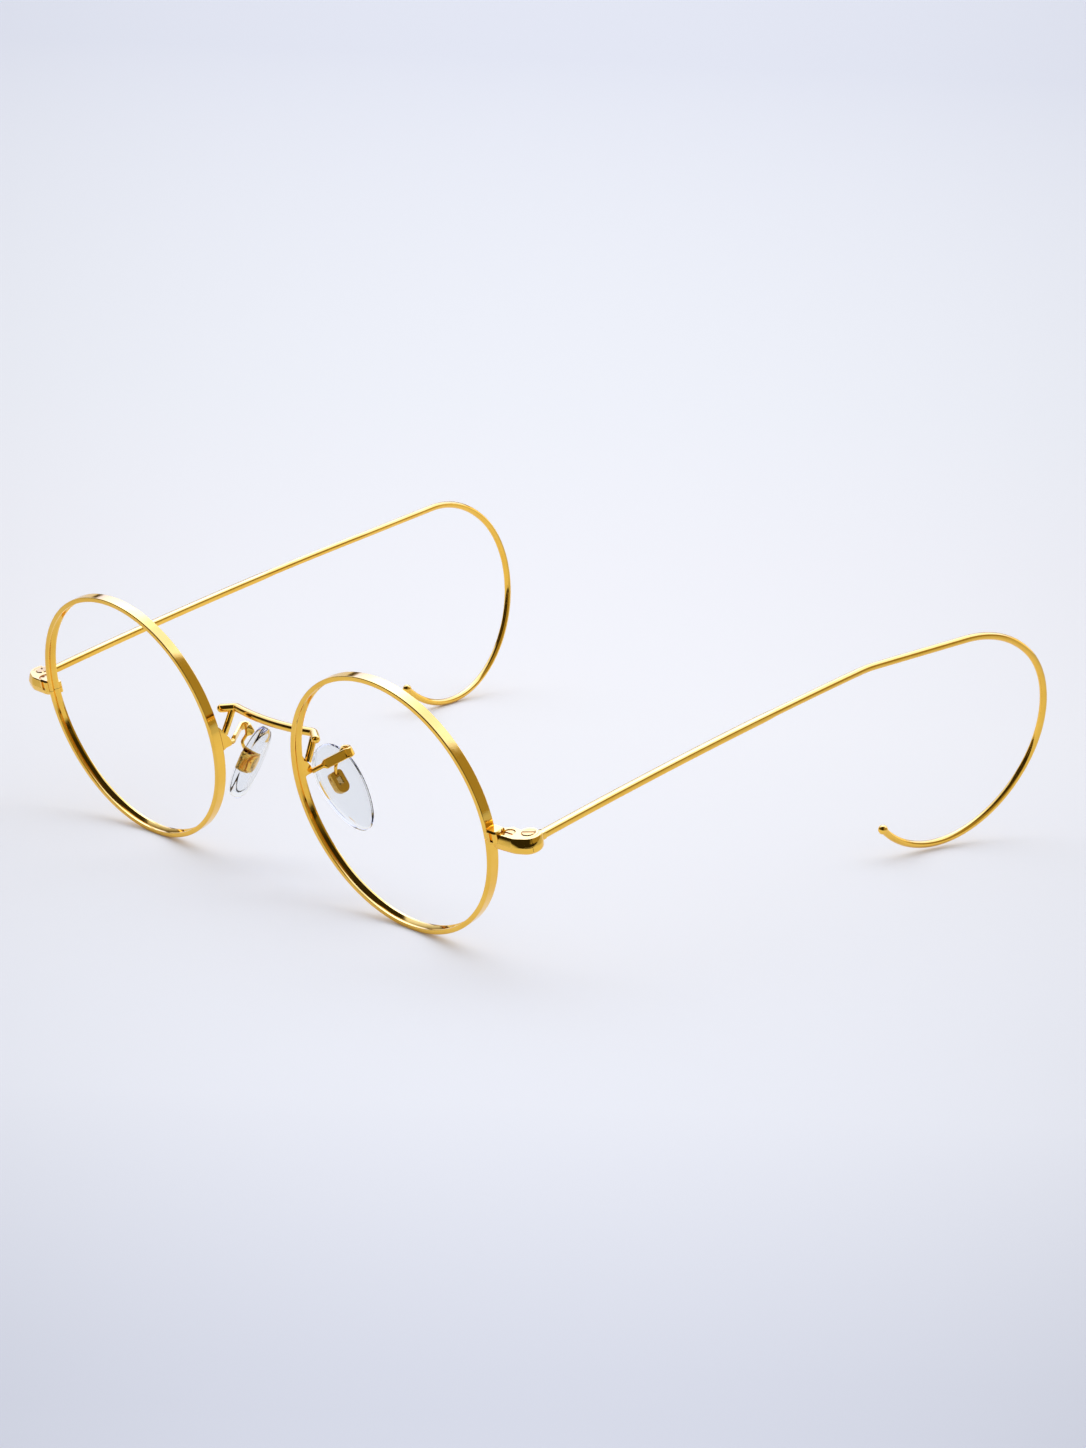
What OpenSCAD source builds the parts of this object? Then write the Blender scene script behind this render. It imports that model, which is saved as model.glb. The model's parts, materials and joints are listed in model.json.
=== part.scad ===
// A round metal eyeglass frame with wire temples that curl behind the ear.
// The pieces are drawn in the front's own frame: x to the wearer's left, y from the
// face of the front towards the ears, z up in the plane of the rims, zero midway
// between the rim centres. on_table() then stands the frame on its rims and curls.

/* [Rims] */
// Outer diameter of each round rim
rim_d = 46.4; // [42:0.2:50]
// Thickness of the rim band, measured in the plane of the lens
rim_t = 0.86; // [0.76:0.02:1.2]
// Depth of the rim band from front to back
rim_w = 1.92; // [1.7:0.02:2.6]
// Distance between the two rims at their nearest
rim_gap = 20.4; // [18:0.2:24]
// Bevel along the outer edges of the rim band
rim_bevel = 0.14; // [0.05:0.01:0.25]
// Depth of the groove that holds the edge of a lens
groove_depth = 0.42; // [0.2:0.02:0.5]
// Width of the lens groove at its mouth
groove_w = 1.2; // [0.8:0.05:1.4]
// Cut that lets a rim open for its lens
rim_cut = 0.08; // [0.04:0.01:0.2]

/* [Split joint at each temple] */
// Height of the joint that the temple hinges in
joint_h = 2.7; // [2.5:0.1:3.2]
// Height of the joint's middle above the rim's middle
joint_z = 0.15; // [-0.5:0.05:0.8]
// How far the hinge lies outside the rim
hinge_out = 5.9; // [5.7:0.1:7]
// How far the hinge lies behind the rim's middle plane
hinge_back = 2.45; // [2.2:0.05:2.8]
// Radius of the two ears that hold the temple's tongue
ear_r = 1.6; // [1.5:0.05:1.8]
// How far the flat face of the joint lies ahead of the rim's middle plane
joint_face = 0.85; // [0.7:0.05:1]
// How far the joint's top edge is drawn in by its dome
dome_in = 0.5; // [0.3:0.05:0.6]
// Bevel along the collar's top and bottom edges
collar_bevel = 0.3; // [0.05:0.01:0.35]
// Width of the collar that the rim's two ends are brazed in
collar_w = 2.3; // [2:0.1:2.6]
// Depth of the collar from front to back
collar_depth = 2.5; // [2.3:0.1:3]
// How far the collar rises above the joint's middle
collar_up = 1.95; // [1.4:0.05:2.2]
// How far the collar reaches below the joint's middle
collar_down = 0.6; // [0.4:0.1:1.2]
// Width of the upright flute in the collar's face
flute_w = 0.65; // [0.4:0.05:0.9]
// Diameter of the screw that closes the rim
closing_screw_d = 1; // [0.8:0.05:1.2]
// Diameter of the closing screw's head
closing_head_d = 2.2; // [1.8:0.05:2.4]
// How far the closing screw lies outside the rim
closing_out = 3; // [2.8:0.1:3.4]
// Diameter of the hinge screw
hinge_screw_d = 0.96; // [0.8:0.02:1.1]
// Diameter of the hinge screw's head
hinge_head_d = 2.3; // [1.8:0.05:2.4]
// Thickness of the temple's tongue
tongue_t = 0.9; // [0.7:0.05:1.1]

/* [Temples] */
// Width of the temple's bar, side to side
bar_w = 1.5; // [1.36:0.02:1.8]
// Height of the temple's bar
bar_h = 1.36; // [1.34:0.02:1.7]
// Radius of the bar's long edges
bar_round = 0.22; // [0.1:0.02:0.4]
// Length of the bar from the joint to its taper
bar_len = 51; // [35:1:60]
// Length of the taper from the bar down to the wire
taper_len = 5; // [3:0.5:8]
// Diameter of the temple's wire
wire_d = 1.34; // [1.1:0.02:1.34]
// Length of the wire from the taper to its bend
shaft_len = 23; // [15:1:30]
// Radius of the gentle bow of the bar and the wire up to the bend
bow_r = 1290; // [800:10:4000]
// Angle that a temple points outwards at the hinge
temple_splay = 1.2; // [0:0.1:4]
// Angle that a temple points downwards at the hinge, from square to the rims
temple_drop = 2.3; // [0:0.1:6]
// Outward angle of the bend behind the bar
bend_out = 7.8; // [0:0.1:12]
// Downward angle of the bend behind the bar
bend_down = 3.1; // [0:0.1:8]
// Length of straight wire between the bend and the curl
reach_len = 23.4; // [15:0.2:30]
// Radius of the first part of the curl, over the ear
curl_r1 = 24.8; // [20:0.2:30]
// Radius of the second part of the curl, behind the ear
curl_r2 = 19.3; // [16:0.2:24]
// Radius of the last part of the curl, under the ear
curl_r3 = 21.8; // [18:0.2:26]
// Turn of the first part of the curl
curl_a1 = 42.5; // [35:0.5:50]
// Turn of the second part of the curl
curl_a2 = 74.2; // [65:0.5:80]
// Turn of the last part of the curl
curl_a3 = 107.9; // [90:0.5:115]
// Inward lean of the left curl
curl_lean_left = 8.2; // [0:0.1:12]
// Inward lean of the right curl
curl_lean_right = 3; // [0:0.1:12]
// Diameter of the ball at the end of each wire
tip_d = 1.8; // [1.4:0.05:2.2]

/* [Bridge] */
// Diameter of the bridge wire
bridge_d = 1.5; // [1.2:0.05:1.7]
// How far the bridge's corners lie inside the rims' nearest points
bridge_inset = 0.2; // [0:0.1:1]
// Forward bow of the bridge between its corners
bridge_bow = 1; // [0.4:0.1:2]
// How far the bridge's corners lie behind the rims' middle plane
bridge_back = 5.2; // [4.6:0.1:6]
// How far the bridge lies above the rims' middle
bridge_up = 5.1; // [4.5:0.1:6]
// Length of the stub that runs on past each corner, up to its round end
stub_len = 2.7; // [2:0.1:3.2]
// Angle of the stub, forward from straight outwards
stub_turn = 36; // [20:1:50]
// Diameter of the posts that carry the bridge
post_d = 1.24; // [1:0.02:1.4]

/* [Pad arms] */
// Diameter of the pad arm's wire
arm_d = 0.9; // [0.8:0.02:1]
// Thickness of the arm's flattened strip
strip_t = 0.56; // [0.4:0.02:0.7]
// Height of the arm's flattened strip
strip_h = 1.7; // [1.4:0.1:2.2]
// Radius of the left arm's turn
turn_left = 1.25; // [1:0.05:1.4]
// Radius of the right arm's turn
turn_right = 0.95; // [0.85:0.05:1.2]
// Drop of an arm over its turn
arm_drop = 0.4; // [0:0.1:0.8]

/* [Nose pads] */
// Length of a nose pad
pad_len = 16.3; // [14:0.1:17]
// Width of a nose pad
pad_w = 8; // [7:0.1:8.4]
// Thickness of a nose pad
pad_t = 2.7; // [2.4:0.1:3]
// How far the metal box is sunk into the pad's back
box_sunk = 1.1; // [0.9:0.05:1.2]
// How far the left pad's pin lies below the rims' middle
pin_down_left = 3.3; // [2.8:0.1:3.8]
// How far the right pad's pin lies below the rims' middle
pin_down_right = 5.1; // [4:0.1:5.4]
// Angle that a pad leans in towards the nose at its top
pad_lean = 32; // [25:0.5:40]
// Angle that the left pad's front edge turns in towards the nose
pad_toe_left = 1; // [0:0.5:20]
// Angle that the right pad's front edge turns in towards the nose
pad_toe_right = 18; // [0:0.5:20]
// Width of the metal box on the back of a pad
box_w = 2.5; // [2.3:0.1:3]
// Length of the metal box
box_len = 4; // [3.8:0.1:4.6]
// Depth of the metal box
box_t = 1.5; // [1.4:0.05:1.8]
// Diameter of the pin that a pad rocks on
pin_d = 0.6; // [0.5:0.02:0.7]
// Thickness of the plate moulded into a pad
insert_t = 0.6; // [0.4:0.05:0.8]

/* [Hidden] */
$fn = 64;
gold = "goldenrod";
deep_gold = "darkgoldenrod";
clear = "gainsboro";

// clearances
running_gap = 0.03;   // round a screw or pin that something turns on
slot_gap = 0.05;      // each side of the tongue and of the arm's lug
swing_gap = 0.1;      // round the ears, where the shoulder swings
head_gap = 0.05;      // round a sunk screw's head
pin_gap = 0.01;       // round a pin that is held fast
eps = 0.01;
past = 1;             // how far a cut runs past what it cuts

// the rims
rim_r = rim_d / 2;
lip_r = rim_r - rim_t;
rim_x = rim_gap / 2 + rim_r;
nose_x = rim_gap / 2;
side_x = rim_gap / 2 + rim_d;

// the split joint
joint_top = joint_z + joint_h / 2;
hinge_at = [side_x + hinge_out, hinge_back];
closing_wall = 0.65;  // metal ahead of the closing screw's head
closing_at = [side_x + closing_out, closing_head_d / 2 + closing_wall - joint_face];
block_nose = [1.75, 0.6];    // middle of the block's rounded nose, from the rim's side
block_side = [1.1, 1.2];     // middle of the block's rounded side, inwards and ahead of the hinge
block_out = 0.35;            // how far ahead of the hinge the block's outer end is rounded about
block_fuller = 0.3;          // how far its outer end is rounded out past the shoulder's ring
nose_fuller = 0.15;          // how far the nose stands ahead of the flat face
block_bottom_in = 0.5;       // how far the bottom face is drawn in from the split
// share of the height and of the way from the split's outline to the face's outline
dome_profile = [[0, 0], [0.5, 0.4], [0.85, 0.78], [1, 1]];
bottom_profile = [[0, 0], [0.6, 0.12], [0.85, 0.45], [1, 1]];
collar_round = 0.45;  // of the collar's upright edges
collar_lap = 0.15;    // how far the collar laps over the rim band
flute_out = 0.75;     // from the rim's side to the flute
flute_deep = 0.3;
flute_from = 0.05;    // from the split up to the flute's lower end
flute_to = 0.3;       // from the flute's upper end up to the collar's top
rear_lug = [[-0.4, 0.36], [1.6, 0.5]];   // places from the rim's side, and half thicknesses
tongue_in = 0.15;     // how much smaller the tongue's round end is than the ears
tongue_from = -18;    // angle where the tongue widens into the shoulder
shoulder_r0 = ear_r + swing_gap;
shoulder_t = 0.5;
shoulder_r1 = shoulder_r0 + shoulder_t;
shoulder_from = -35;  // angles about the hinge, from straight outwards
shoulder_to = 36;     // the shoulder has the joint's full height up to here
neck_from = 30;     // and the bar's height from here on
neck_to = 96;
shoulder_play = 1;    // angle left between the shoulder and the joint when the temple is open
shoulder_bite = 0.1;  // how far the tongue reaches into the shoulder
swing_to = 178;
closing_head_t = 0.38;
closing_sunk = 0.52;  // from the joint's top down to the seat of the closing screw's head
hinge_head_t = 0.34;
head_bevel = 0.12;    // round the top of a screw's head
hinge_sunk = 0.22;    // from the joint's top down to the seat of the hinge screw's head
slot_w = 0.34;        // screwdriver slots
slot_deep = 0.22;

// sides and rings of what is drawn as a skin
corner_sides = 5;
bar_steps = 4;
taper_steps = 4;
curl_steps = 45;
bridge_steps = 8;
bend_steps = 4;
neck_steps = 3;
egg_sides = 40;

// the temples
wire_r = wire_d / 2;
bend_soft = 2;        // length of wire on each side of the bend that curves
bar_out = 0.6;        // from the hinge to the bar's middle
bar_lift = 0.05;      // from the joint's middle up to the bar's
bar_back = 2.75;      // from the hinge to where the splay and drop are set
bar_root = 0.98;      // length of bar ahead of that point
bow_deg = 180 / PI / bow_r;
straight_len = bar_len + taper_len + shaft_len;
bar_at = [hinge_at[0] + bar_out, hinge_at[1] + bar_back, joint_z + bar_lift];

// turns a point as rotate([0, 0, -yaw]) rotate([pitch, 0, 0]) rotate([0, lean, 0]) does
function lean_pt(p, a) = [p[0] * cos(a) + p[2] * sin(a), p[1], p[2] * cos(a) - p[0] * sin(a)];
function pitch_pt(p, a) = [p[0], p[1] * cos(a) - p[2] * sin(a), p[1] * sin(a) + p[2] * cos(a)];
function yaw_pt(p, a) = [p[0] * cos(a) + p[1] * sin(a), p[1] * cos(a) - p[0] * sin(a), p[2]];
function aim_pt(p, yaw, pitch, lean) = yaw_pt(pitch_pt(lean_pt(p, lean), pitch), yaw);

// the point s along the bow, from where the bar starts
function bow_pt(s) = [0, bow_r * sin(s * bow_deg), -bow_r * (1 - cos(s * bow_deg))];
function on_temple(p) = bar_at + aim_pt(p, temple_splay, -temple_drop, 0);
bend_at = on_temple(bow_pt(straight_len));
bend_yaw = temple_splay + bend_out;
bend_pitch = -temple_drop - straight_len * bow_deg - bend_down;

// the curl, in its own plane: centres of its three bends, and points along it
function ahead(a) = [sin(a), cos(a)];
curl_start = [reach_len, 0];
curl_c1 = curl_start - curl_r1 * [0, 1];
curl_c2 = curl_c1 + (curl_r1 - curl_r2) * ahead(curl_a1);
curl_c3 = curl_c2 + (curl_r2 - curl_r3) * ahead(curl_a1 + curl_a2);
curl_turn = curl_a1 + curl_a2 + curl_a3;
function curl_pt(a) =
    a < curl_a1 ? curl_c1 + curl_r1 * ahead(a)
    : a < curl_a1 + curl_a2 ? curl_c2 + curl_r2 * ahead(a)
    : curl_c3 + curl_r3 * ahead(a);
function on_curl(q, lean) = bend_at + aim_pt([0, q[0], q[1]], bend_yaw, bend_pitch, lean);
function curl_pts(lean) = [for (i = [0:120]) on_curl(curl_pt(curl_turn * i / 120), lean)];

// how the frame stands: the rims' lower edges and the lower curl share the table
function rim_rise(t) = rim_r * cos(t) + (rim_w / 2 - rim_bevel) * sin(t);
function stood(p, t) = [p[0], p[1] * cos(t) - p[2] * sin(t), p[1] * sin(t) + p[2] * cos(t)];
both_curls = concat(curl_pts(curl_lean_left), curl_pts(curl_lean_right));
function curl_rise(t) = min([for (p = both_curls) stood(p, t)[2]]) + rim_rise(t) - wire_r;
function find_tilt(lo, hi, n) =
    n == 0 ? (lo + hi) / 2
    : curl_rise((lo + hi) / 2) > 0 ? find_tilt(lo, (lo + hi) / 2, n - 1)
    : find_tilt((lo + hi) / 2, hi, n - 1);
stand_tilt = find_tilt(0, 35, 26);
stand_z = rim_rise(stand_tilt);

// the middle of the whole frame, seen from above
front_y = -rim_r * sin(stand_tilt) - (rim_w / 2 - rim_bevel) * cos(stand_tilt);
front_y2 = -(rim_r - rim_bevel) * sin(stand_tilt) - rim_w / 2 * cos(stand_tilt);
back_y = max([for (p = both_curls) stood(p, stand_tilt)[1]]) + wire_r;
left_x = max([for (p = curl_pts(curl_lean_left)) p[0]]) + wire_r;
right_x = max([for (p = curl_pts(curl_lean_right)) p[0]]) + wire_r;
middle = [(left_x - right_x) / 2, (min(front_y, front_y2) + back_y) / 2];

// the bridge
corner_x = nose_x - bridge_inset;
bridge_r = (corner_x * corner_x + bridge_bow * bridge_bow) / (2 * bridge_bow);
bridge_half = asin(corner_x / bridge_r);
bridge_corner = [corner_x, bridge_back, bridge_up];
stub_dir = [cos(stub_turn), -sin(stub_turn), 0];
corner_soft = 0.5;    // length of wire on each side of a corner that curves
post_out = 0.6;       // from the bridge's corner along its stub to the post
post_foot = [nose_x + 0.57, rim_w / 2 + 1.15, 1.16];

// the bracket's outline behind the rim: distance back and height
bracket_edge = [
    [0, 3], [0.34, 2.6], [0.94, 1.5], [1.74, 0.2],
    [2, -0.6], [1.85, -1.25], [0.64, -1.2], [0, -1.45]
];
bracket_back = 2;
bracket_in = 0.4;     // how far the bracket keeps clear of the lens seat

// the pad arms' routes, from the nose side of the rim to where they turn back
arm_left = [[0.75, 2.5, -0.75], [1.45, 4.05, -0.42], [3.55, 8.15, 0.65]];
arm_right = [[0.75, 2.5, -0.95], [1.3, 4.05, -1.4], [3.6, 7.95, -0.9]];
strip_round = 0.2;    // of the strip's long edges
neck_rise = [1.7, 1.75];   // from the pin to where the strip ends: up the pad, and out from it
neck_d = 0.66;
neck_soft = 0.5;      // length on each side of the bend between strip and neck that curves
neck_foot = 0.37;     // from the pin's middle to the neck's end, inside the lug
lug_r = 0.48;         // the round lug at the arm's end
lug_t = 0.9;

// the pads
pin_left = [nose_x + 2.07, 6.2, -pin_down_left];
pin_right = [nose_x + 1.4, 6.6, -pin_down_right];
box_mid = [-0.9, 1.2];
seat_z = pad_t / 2 - box_sunk;   // where the box stands, from the pad's middle
pin_up = box_t / 2;   // from the seat to the pin
pin_along = 1.05;     // from the box's middle up to the pin
pin_in_pad = [box_mid[0], box_mid[1] + pin_along, seat_z + pin_up];
pin_short = 0.1;      // how far each end of the pin lies inside the box's side
pocket_down = 1.55;   // from the pin to the bottom of the box's pocket
box_floor = 0.2;      // wall between the pocket and the pad
box_round = 0.6;      // of the box's upper corners
window_w = 0.96;
window_len = 1.4;
notch_from = 0.05;    // from the pin up to the notch that the arm's neck leaves by
egg_skew = 0.167;     // how much fuller the pad is towards its top
insert_len = 3.6;
insert_w = 2.2;

// frames and helpers

module on_table() {
    translate([-middle[0], -middle[1], stand_z]) rotate([stand_tilt, 0, 0]) children();
}

module on_side(side) {
    on_table() mirror([side < 0 ? 1 : 0, 0, 0]) children();
}

// a round bar between two points
module rod(a, b, r) {
    d = b - a;
    translate(a)
        rotate([0, acos(d[2] / norm(d)), atan2(d[1], d[0])])
        cylinder(r = r, h = norm(d));
}

// a sector of a ring about z
module sector(r0, r1, from, to, h) {
    rotate([0, 0, from])
        rotate_extrude(angle = to - from)
        translate([r0, 0]) square([r1 - r0, h]);
}

// a rounded oblong's outline with half sides a and b and corners of radius c
function outline(a, b, c) = [
    for (q = [[1, 1, 0], [-1, 1, 90], [-1, -1, 180], [1, -1, 270]], i = [0:corner_sides - 1])
        let (t = q[2] + 90 * (i + 0.5) / corner_sides)
        [q[0] * (a - c) + c * cos(t), q[1] * (b - c) + c * sin(t)]
];

// the ring of outline points about p, square to the direction d; x lies along ref
function ring(p, d, ref, pts) =
    let (t = d / norm(d), u0 = ref - (ref * t) * t, u = u0 / norm(u0), v = cross(t, u))
    [for (q = pts) p + q[0] * u + q[1] * v];

// a closed skin over rings that all have as many points
module skin(rings) {
    n = len(rings[0]);
    m = len(rings);
    polyhedron(
        points = [for (r = rings, q = r) q],
        faces = concat(
            [[for (i = [0:n - 1]) i]],
            [for (j = [0:m - 2], i = [0:n - 1]) let (k = (i + 1) % n)
                [j * n + i, (j + 1) * n + i, (j + 1) * n + k]],
            [for (j = [0:m - 2], i = [0:n - 1]) let (k = (i + 1) % n)
                [j * n + i, (j + 1) * n + k, j * n + k]],
            [[for (i = [n - 1:-1:0]) (m - 1) * n + i]]
        )
    );
}

// the direction of a path at its point i
function along(path, i) =
    let (a = path[max(i - 1, 0)], b = path[i], c = path[min(i + 1, len(path) - 1)])
    (i > 0 ? (b - a) / norm(b - a) : [0, 0, 0]) + (i < len(path) - 1 ? (c - b) / norm(c - b) : [0, 0, 0]);

// rings of a round wire of radius r through the points of a path, with ref square to most of it
function wire_rings(path, r, ref) = [
    for (i = [0:len(path) - 1])
        let (d = along(path, i), k = i == 0 || i == len(path) - 1 ? 1 : norm(d) / 2)
        ring(path[i], d, ref, outline(r, r, r) * [[1, 0], [0, 1 / k]])
];

// rings that round off a wire at p, where d is its direction: side is -1 at its start, 1 at its end
function round_end(p, d, side, r, ref) = [
    for (a = side > 0 ? [30, 55, 80] : [80, 55, 30])
        ring(p + side * r * sin(a) * d, d, ref, outline(r, r, r) * cos(a))
];

// the rims

module rim_section() {
    w = rim_w / 2;
    g = groove_w / 2;
    polygon([
        [lip_r, -w], [rim_r - rim_bevel, -w], [rim_r, -w + rim_bevel],
        [rim_r, w - rim_bevel], [rim_r - rim_bevel, w], [lip_r, w],
        [lip_r, g], [lip_r + groove_depth, 0], [lip_r, -g]
    ]);
}

// the rim starts at the cut in the joint's middle and runs all the way round
module rim(side) {
    at = asin(joint_z / rim_r);
    half = rim_cut / 2 / rim_r * 180 / PI;
    color(gold) on_side(side)
        translate([rim_x, 0, 0]) rotate([90, 0, 0]) rotate([0, 0, at + half])
        rotate_extrude(angle = 360 - 2 * half, $fn = 180) rim_section();
}

module rim_room() {
    translate([rim_x, 0, 0]) rotate([90, 0, 0])
        cylinder(r = rim_r, h = rim_w, center = true, $fn = 180);
}

// the split joint

// the convex block over the screw and the hinge, as three circles [x, y, radius] at its
// split, and the same three at its top and its bottom face
block_split = [
    [side_x + block_nose[0], block_nose[1], joint_face + block_nose[1] + nose_fuller],
    [hinge_at[0] - block_side[0], hinge_at[1] - block_side[1], joint_face + hinge_at[1] - block_side[1]],
    [hinge_at[0], hinge_at[1] - block_out, shoulder_r1 + block_fuller]
];
block_top = [
    block_split[0] - [0, 0, dome_in], block_split[1] - [0, 0, dome_in],
    [hinge_at[0], hinge_at[1], shoulder_r1]
];
block_bottom = [for (c = block_split) c - [0, 0, block_bottom_in]];

module joint_block(h, profile, face) {
    hull()
        for (p = profile, i = [0:2])
            let (c = block_split[i] + p[1] * (face[i] - block_split[i]))
            translate([c[0], c[1], p[0] * (h - eps)]) cylinder(r = c[2], h = eps, $fn = 32);
}

module block_upper() {
    joint_block(joint_h / 2, dome_profile, block_top);
}

module block_lower() {
    joint_block(joint_h / 2, bottom_profile, block_bottom);
}

module collar(h) {
    r = collar_round;
    x0 = side_x - collar_lap;
    hull()
        for (x = [x0 + r, x0 + collar_w - r], y = [r - collar_depth / 2, collar_depth / 2 - r])
            translate([x, y, 0]) {
                cylinder(r = r, h = h - collar_bevel, $fn = 24);
                cylinder(r = r - collar_bevel, h = h, $fn = 24);
            }
}

// a small lug that laps behind the rim
module joint_lug(h) {
    hull()
        for (e = rear_lug)
            translate([side_x + e[0], rim_w / 2 + e[1], 0]) cylinder(r = e[1], h = h, $fn = 24);
}

// one half round its block, drawn upwards from the split; rim_mid is the rim's middle from there
module joint_half(collar_h, rim_mid) {
    h = joint_h / 2;
    difference() {
        union() {
            children();
            collar(collar_h);
            joint_lug(h - collar_bevel);
        }
        translate([0, 0, rim_mid]) rim_room();
        translate([0, 0, -past]) linear_extrude(past + rim_cut / 2) square(2 * side_x);
        translate([hinge_at[0], hinge_at[1], -eps]) {
            sector(ear_r, shoulder_r1 + 2 * past, shoulder_from, swing_to, h + past);
            cylinder(r = shoulder_r0, h = tongue_t / 2 + slot_gap + eps);
            cylinder(r = hinge_screw_d / 2 + running_gap, h = h + past);
        }
    }
}

module joint_upper(side) {
    h = joint_h / 2;
    color(gold) on_side(side) translate([0, 0, joint_z]) difference() {
        joint_half(collar_up, -joint_z) block_upper();
        translate([closing_at[0], closing_at[1], 0]) {
            cylinder(r = closing_screw_d / 2 + running_gap, h = h + past);
            translate([0, 0, h - closing_sunk]) cylinder(r = closing_head_d / 2 + head_gap, h = past);
        }
        translate([hinge_at[0], hinge_at[1], h - hinge_sunk])
            cylinder(r = hinge_head_d / 2 + head_gap, h = past);
        translate([side_x + flute_out, -collar_depth / 2 - past, flute_from])
            cube([flute_w, flute_deep + past, collar_up - flute_from - flute_to]);
    }
}

module joint_lower(side) {
    color(gold) on_side(side) translate([0, 0, joint_z]) mirror([0, 0, 1]) difference() {
        joint_half(collar_down, joint_z) block_lower();
        translate([closing_at[0], closing_at[1], -eps])
            cylinder(r = closing_screw_d / 2 + running_gap, h = joint_h);
    }
}

// a screw that hangs from its head's underside at z = 0, with a cut across the head
module slotted_screw(shank_d, shank_len, head_d, head_t) {
    difference() {
        union() {
            translate([0, 0, -shank_len]) cylinder(r = shank_d / 2, h = shank_len + eps);
            cylinder(r = head_d / 2, h = head_t - head_bevel);
            translate([0, 0, head_t - head_bevel])
                cylinder(r1 = head_d / 2, r2 = head_d / 2 - head_bevel, h = head_bevel);
        }
        translate([-head_d, -slot_w / 2, head_t - slot_deep]) cube([2 * head_d, slot_w, past]);
    }
}

module closing_screw(side) {
    color(deep_gold) on_side(side)
        translate([closing_at[0], closing_at[1], joint_top - closing_sunk])
        slotted_screw(closing_screw_d, joint_h - closing_sunk, closing_head_d, closing_head_t);
}

module hinge_screw(side) {
    color(deep_gold) on_side(side)
        translate([hinge_at[0], hinge_at[1], joint_top - hinge_sunk]) rotate([0, 0, 30])
        slotted_screw(hinge_screw_d, joint_h - hinge_sunk, hinge_head_d, hinge_head_t);
}

// the temples

// the piece of the block's outline that the temple carries, flush with the joint
module shoulder() {
    intersection() {
        union() {
            block_upper();
            mirror([0, 0, 1]) block_lower();
        }
        translate([hinge_at[0], hinge_at[1], -joint_h])
            sector(shoulder_r0, shoulder_r1 + past, shoulder_from + shoulder_play, shoulder_to, 2 * joint_h);
    }
}

// the tongue between the ears, the shoulder that butts on the joint, and the neck to the bar
module temple_knuckle() {
    translate([0, 0, joint_z]) difference() {
        union() {
            shoulder();
            translate([hinge_at[0], hinge_at[1], -tongue_t / 2]) {
                cylinder(r = ear_r - tongue_in, h = tongue_t);
                sector(0, shoulder_r0 + shoulder_bite, tongue_from, neck_to, tongue_t);
            }
            translate([hinge_at[0], hinge_at[1], bar_lift - bar_h / 2])
                sector(shoulder_r0, shoulder_r1, neck_from, neck_to, bar_h);
        }
        translate([hinge_at[0], hinge_at[1], 0])
            cylinder(r = hinge_screw_d / 2 + running_gap, h = 2 * joint_h, center = true);
    }
}

// rings of the bar from its root to the end of its taper: distance, half sides, corner
bar_rings = concat(
    [for (i = [0:bar_steps])
        [(bar_len + bar_root) * i / bar_steps - bar_root, bar_w / 2, bar_h / 2, bar_round]],
    [for (i = [1:taper_steps]) let (f = i / taper_steps, g = (1 - cos(180 * f)) / 2)
        [bar_len + taper_len * f, bar_w / 2 + g * (wire_r - bar_w / 2),
            bar_h / 2 + g * (wire_r - bar_h / 2), bar_round + g * (wire_r - bar_round)]]
);

module temple_bar(side) {
    color(gold) on_side(side) {
        temple_knuckle();
        skin([for (b = bar_rings)
            ring(on_temple(bow_pt(b[0])), on_temple(bow_pt(b[0] + 1)) - on_temple(bow_pt(b[0] - 1)),
                [1, 0, 0], outline(b[1], b[2], b[3]))]);
    }
}

// the wire's route: on along the bow, round the bend and along the curl
function wire_path(lean) = concat(
    [for (i = [0:2]) on_temple(bow_pt(bar_len + taper_len + (shaft_len - bend_soft) * i / 2))],
    [for (i = [1:4]) let (f = i / 5)
        (1 - f) * (1 - f) * on_temple(bow_pt(straight_len - bend_soft))
            + 2 * f * (1 - f) * bend_at + f * f * on_curl([bend_soft, 0], lean)],
    [on_curl([bend_soft, 0], lean)],
    [for (i = [0:curl_steps]) on_curl(curl_pt(curl_turn * i / curl_steps), lean)]
);

module temple_wire(side, lean) {
    color(gold) on_side(side) skin(wire_rings(wire_path(lean), wire_r, [1, 0, 0]));
}

module curl_frame(lean) {
    translate(bend_at)
        rotate([0, 0, -bend_yaw]) rotate([bend_pitch, 0, 0]) rotate([0, lean, 0])
        children();
}

// a ball, cut flat where the end of the wire is brazed to it
module temple_tip(side, lean) {
    end = curl_pt(curl_turn);
    flat = sqrt(tip_d * tip_d / 4 - wire_r * wire_r);
    color(gold) on_side(side) curl_frame(lean)
        translate([0, end[0], end[1]]) rotate([-curl_turn, 0, 0])
        difference() {
            translate([0, flat, 0]) sphere(tip_d / 2);
            translate([-tip_d, -tip_d, -tip_d]) cube([2 * tip_d, tip_d, 2 * tip_d]);
        }
}

// the bridge

stub_end = bridge_corner + stub_len * stub_dir;
function bridge_pt(a) = [bridge_r * sin(a), bridge_back - bridge_bow + bridge_r * (1 - cos(a)), bridge_up];
function half_bridge() =
    let (a1 = bridge_half - corner_soft / bridge_r * 180 / PI,
        b = bridge_corner + corner_soft * stub_dir, c = bridge_pt(a1))
    concat(
        [stub_end],
        [for (i = [0:bend_steps]) let (f = i / bend_steps)
            (1 - f) * (1 - f) * b + 2 * f * (1 - f) * bridge_corner + f * f * c],
        [for (i = [bridge_steps - 1:-1:0]) bridge_pt(a1 * i / bridge_steps)]
    );

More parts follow.
